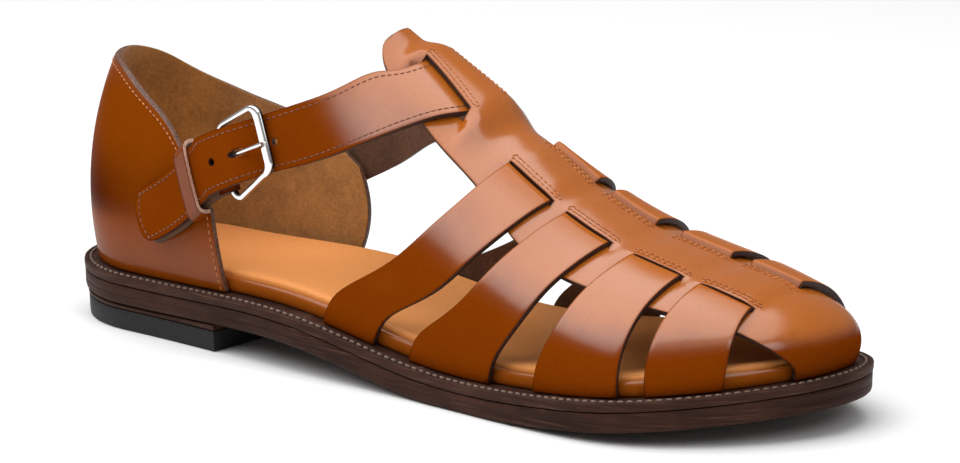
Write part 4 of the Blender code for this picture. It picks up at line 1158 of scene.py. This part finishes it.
turn = np.linspace(-0.985, 0.985, 260)
top_row = wall(turn, QUARTER_TOP(turn) - 1.9, -0.05 + 0 * turn)
front_rows = []
for end in (-1, 1):
    z = np.linspace(21.0, float(QUARTER_TOP(end)) - 2.5, 40)
    point = wall(np.full(40, float(end)), z, -0.05)
    point[:, 0] -= 2.0
    point[:, 1] = plan(point[:, 0], end, wall_inset(z, -0.05))
    front_rows.append(point)
stitches("quarter_stitches", [top_row] + front_rows, amber_thread, 2.2, 0.22)

s = np.linspace(4.0, STRAP_LENGTH - 3.0, 300)
edge_rows = []
for w in (0.095, 0.905):
    edge_rows.append(band_at(s, w + 0 * s, strap_lift(s) + STRAP_WALL + 0.10))
tail = np.linspace(0, 1, 24)
edge_rows.append(band_at(4.0 - 2.3 * np.sin(math.pi * tail), 0.095 + 0.81 * tail,
                         strap_lift(4.0 + 0 * tail) + STRAP_WALL + 0.12))
stitches("ankle_strap_stitches", edge_rows, rust_thread, 2.1, 0.2)

ring = loop(2.2, over(-0.25), count=260)
stitches("welt_stitches", [np.concatenate((ring, ring[:1]))], welt_thread, 3.0, 0.48)

# Camera, floor and light: the photo's angle, a pale floor, one broad light overhead, a small one in front
# and a wide soft sun that keeps the floor white.
AZIMUTH, ELEVATION = math.radians(39.23), math.radians(13.4)
level = math.cos(ELEVATION)
look = Vector((-math.sin(AZIMUTH) * level, math.cos(AZIMUTH) * level, -math.sin(ELEVATION)))
right = Vector((math.cos(AZIMUTH), math.sin(AZIMUTH), 0))
up = right.cross(look)
target = Vector(metres((150.0, 0.0, 30.0)))
lens = bpy.data.cameras.new("camera")
lens.sensor_width = 36.0
lens.lens = 195.2
lens.clip_start = 0.05
camera = in_scene("camera", lens)
FOCAL = 5204.0
OFF_RIGHT = 31.2
OFF_UP = 43.1
DISTANCE = 1.6784
aim = (look + right * (OFF_RIGHT / FOCAL) + up * (OFF_UP / FOCAL)).normalized()
camera.location = target - look * DISTANCE
camera.rotation_euler = aim.to_track_quat("-Z", "Y").to_euler()
bpy.context.scene.camera = camera

ground, ground_shader, ground_mm = new_material("floor", Roughness=0.9, Specular_IOR_Level=0.1)
feed(ground_shader, Base_Color=ground_mm.noise(0.004, 2.0, 0.5).blend((0.90, 0.90, 0.90), (0.92, 0.92, 0.92)))
mesh = bpy.data.meshes.new("floor")
mesh.from_pydata([(-6, -6, 0), (6, -6, 0), (6, 6, 0), (-6, 6, 0)], [], [(0, 1, 2, 3)])
mesh.materials.append(ground)
floor = in_scene("floor", mesh)

world = bpy.data.worlds.new("studio")
bpy.context.scene.world = world
world.use_nodes = True
world.node_tree.nodes["Background"].inputs[0].default_value = (1.0, 1.0, 1.0, 1.0)
world.node_tree.nodes["Background"].inputs[1].default_value = 0.28
for name, toward, distance, size, power in (
    ("overhead", (-0.204, -0.243, 0.948), 1.0, (1.40, 1.86), 14.5),
    ("front", (0.80, -0.25, 0.65), 1.6, (0.6, 0.6), 3.5),
):
    lamp = bpy.data.lights.new(name, "AREA")
    lamp.shape = "RECTANGLE"
    lamp.size, lamp.size_y = size
    lamp.energy = power
    body = in_scene(name, lamp)
    away = Vector(toward).normalized()
    body.location = away * distance
    aside = Vector((away.y, -away.x, 0)).normalized()
    body.rotation_euler = Matrix((aside, away.cross(aside), away)).transposed().to_euler()
ceiling = bpy.data.lights.new("ceiling", "SUN")
ceiling.energy = 0.9
ceiling.angle = math.radians(90)
body = in_scene("ceiling", ceiling)
body.rotation_euler = Vector((-0.204, -0.243, 0.948)).to_track_quat("Z", "Y").to_euler()
bpy.context.scene.view_settings.view_transform = "Standard"
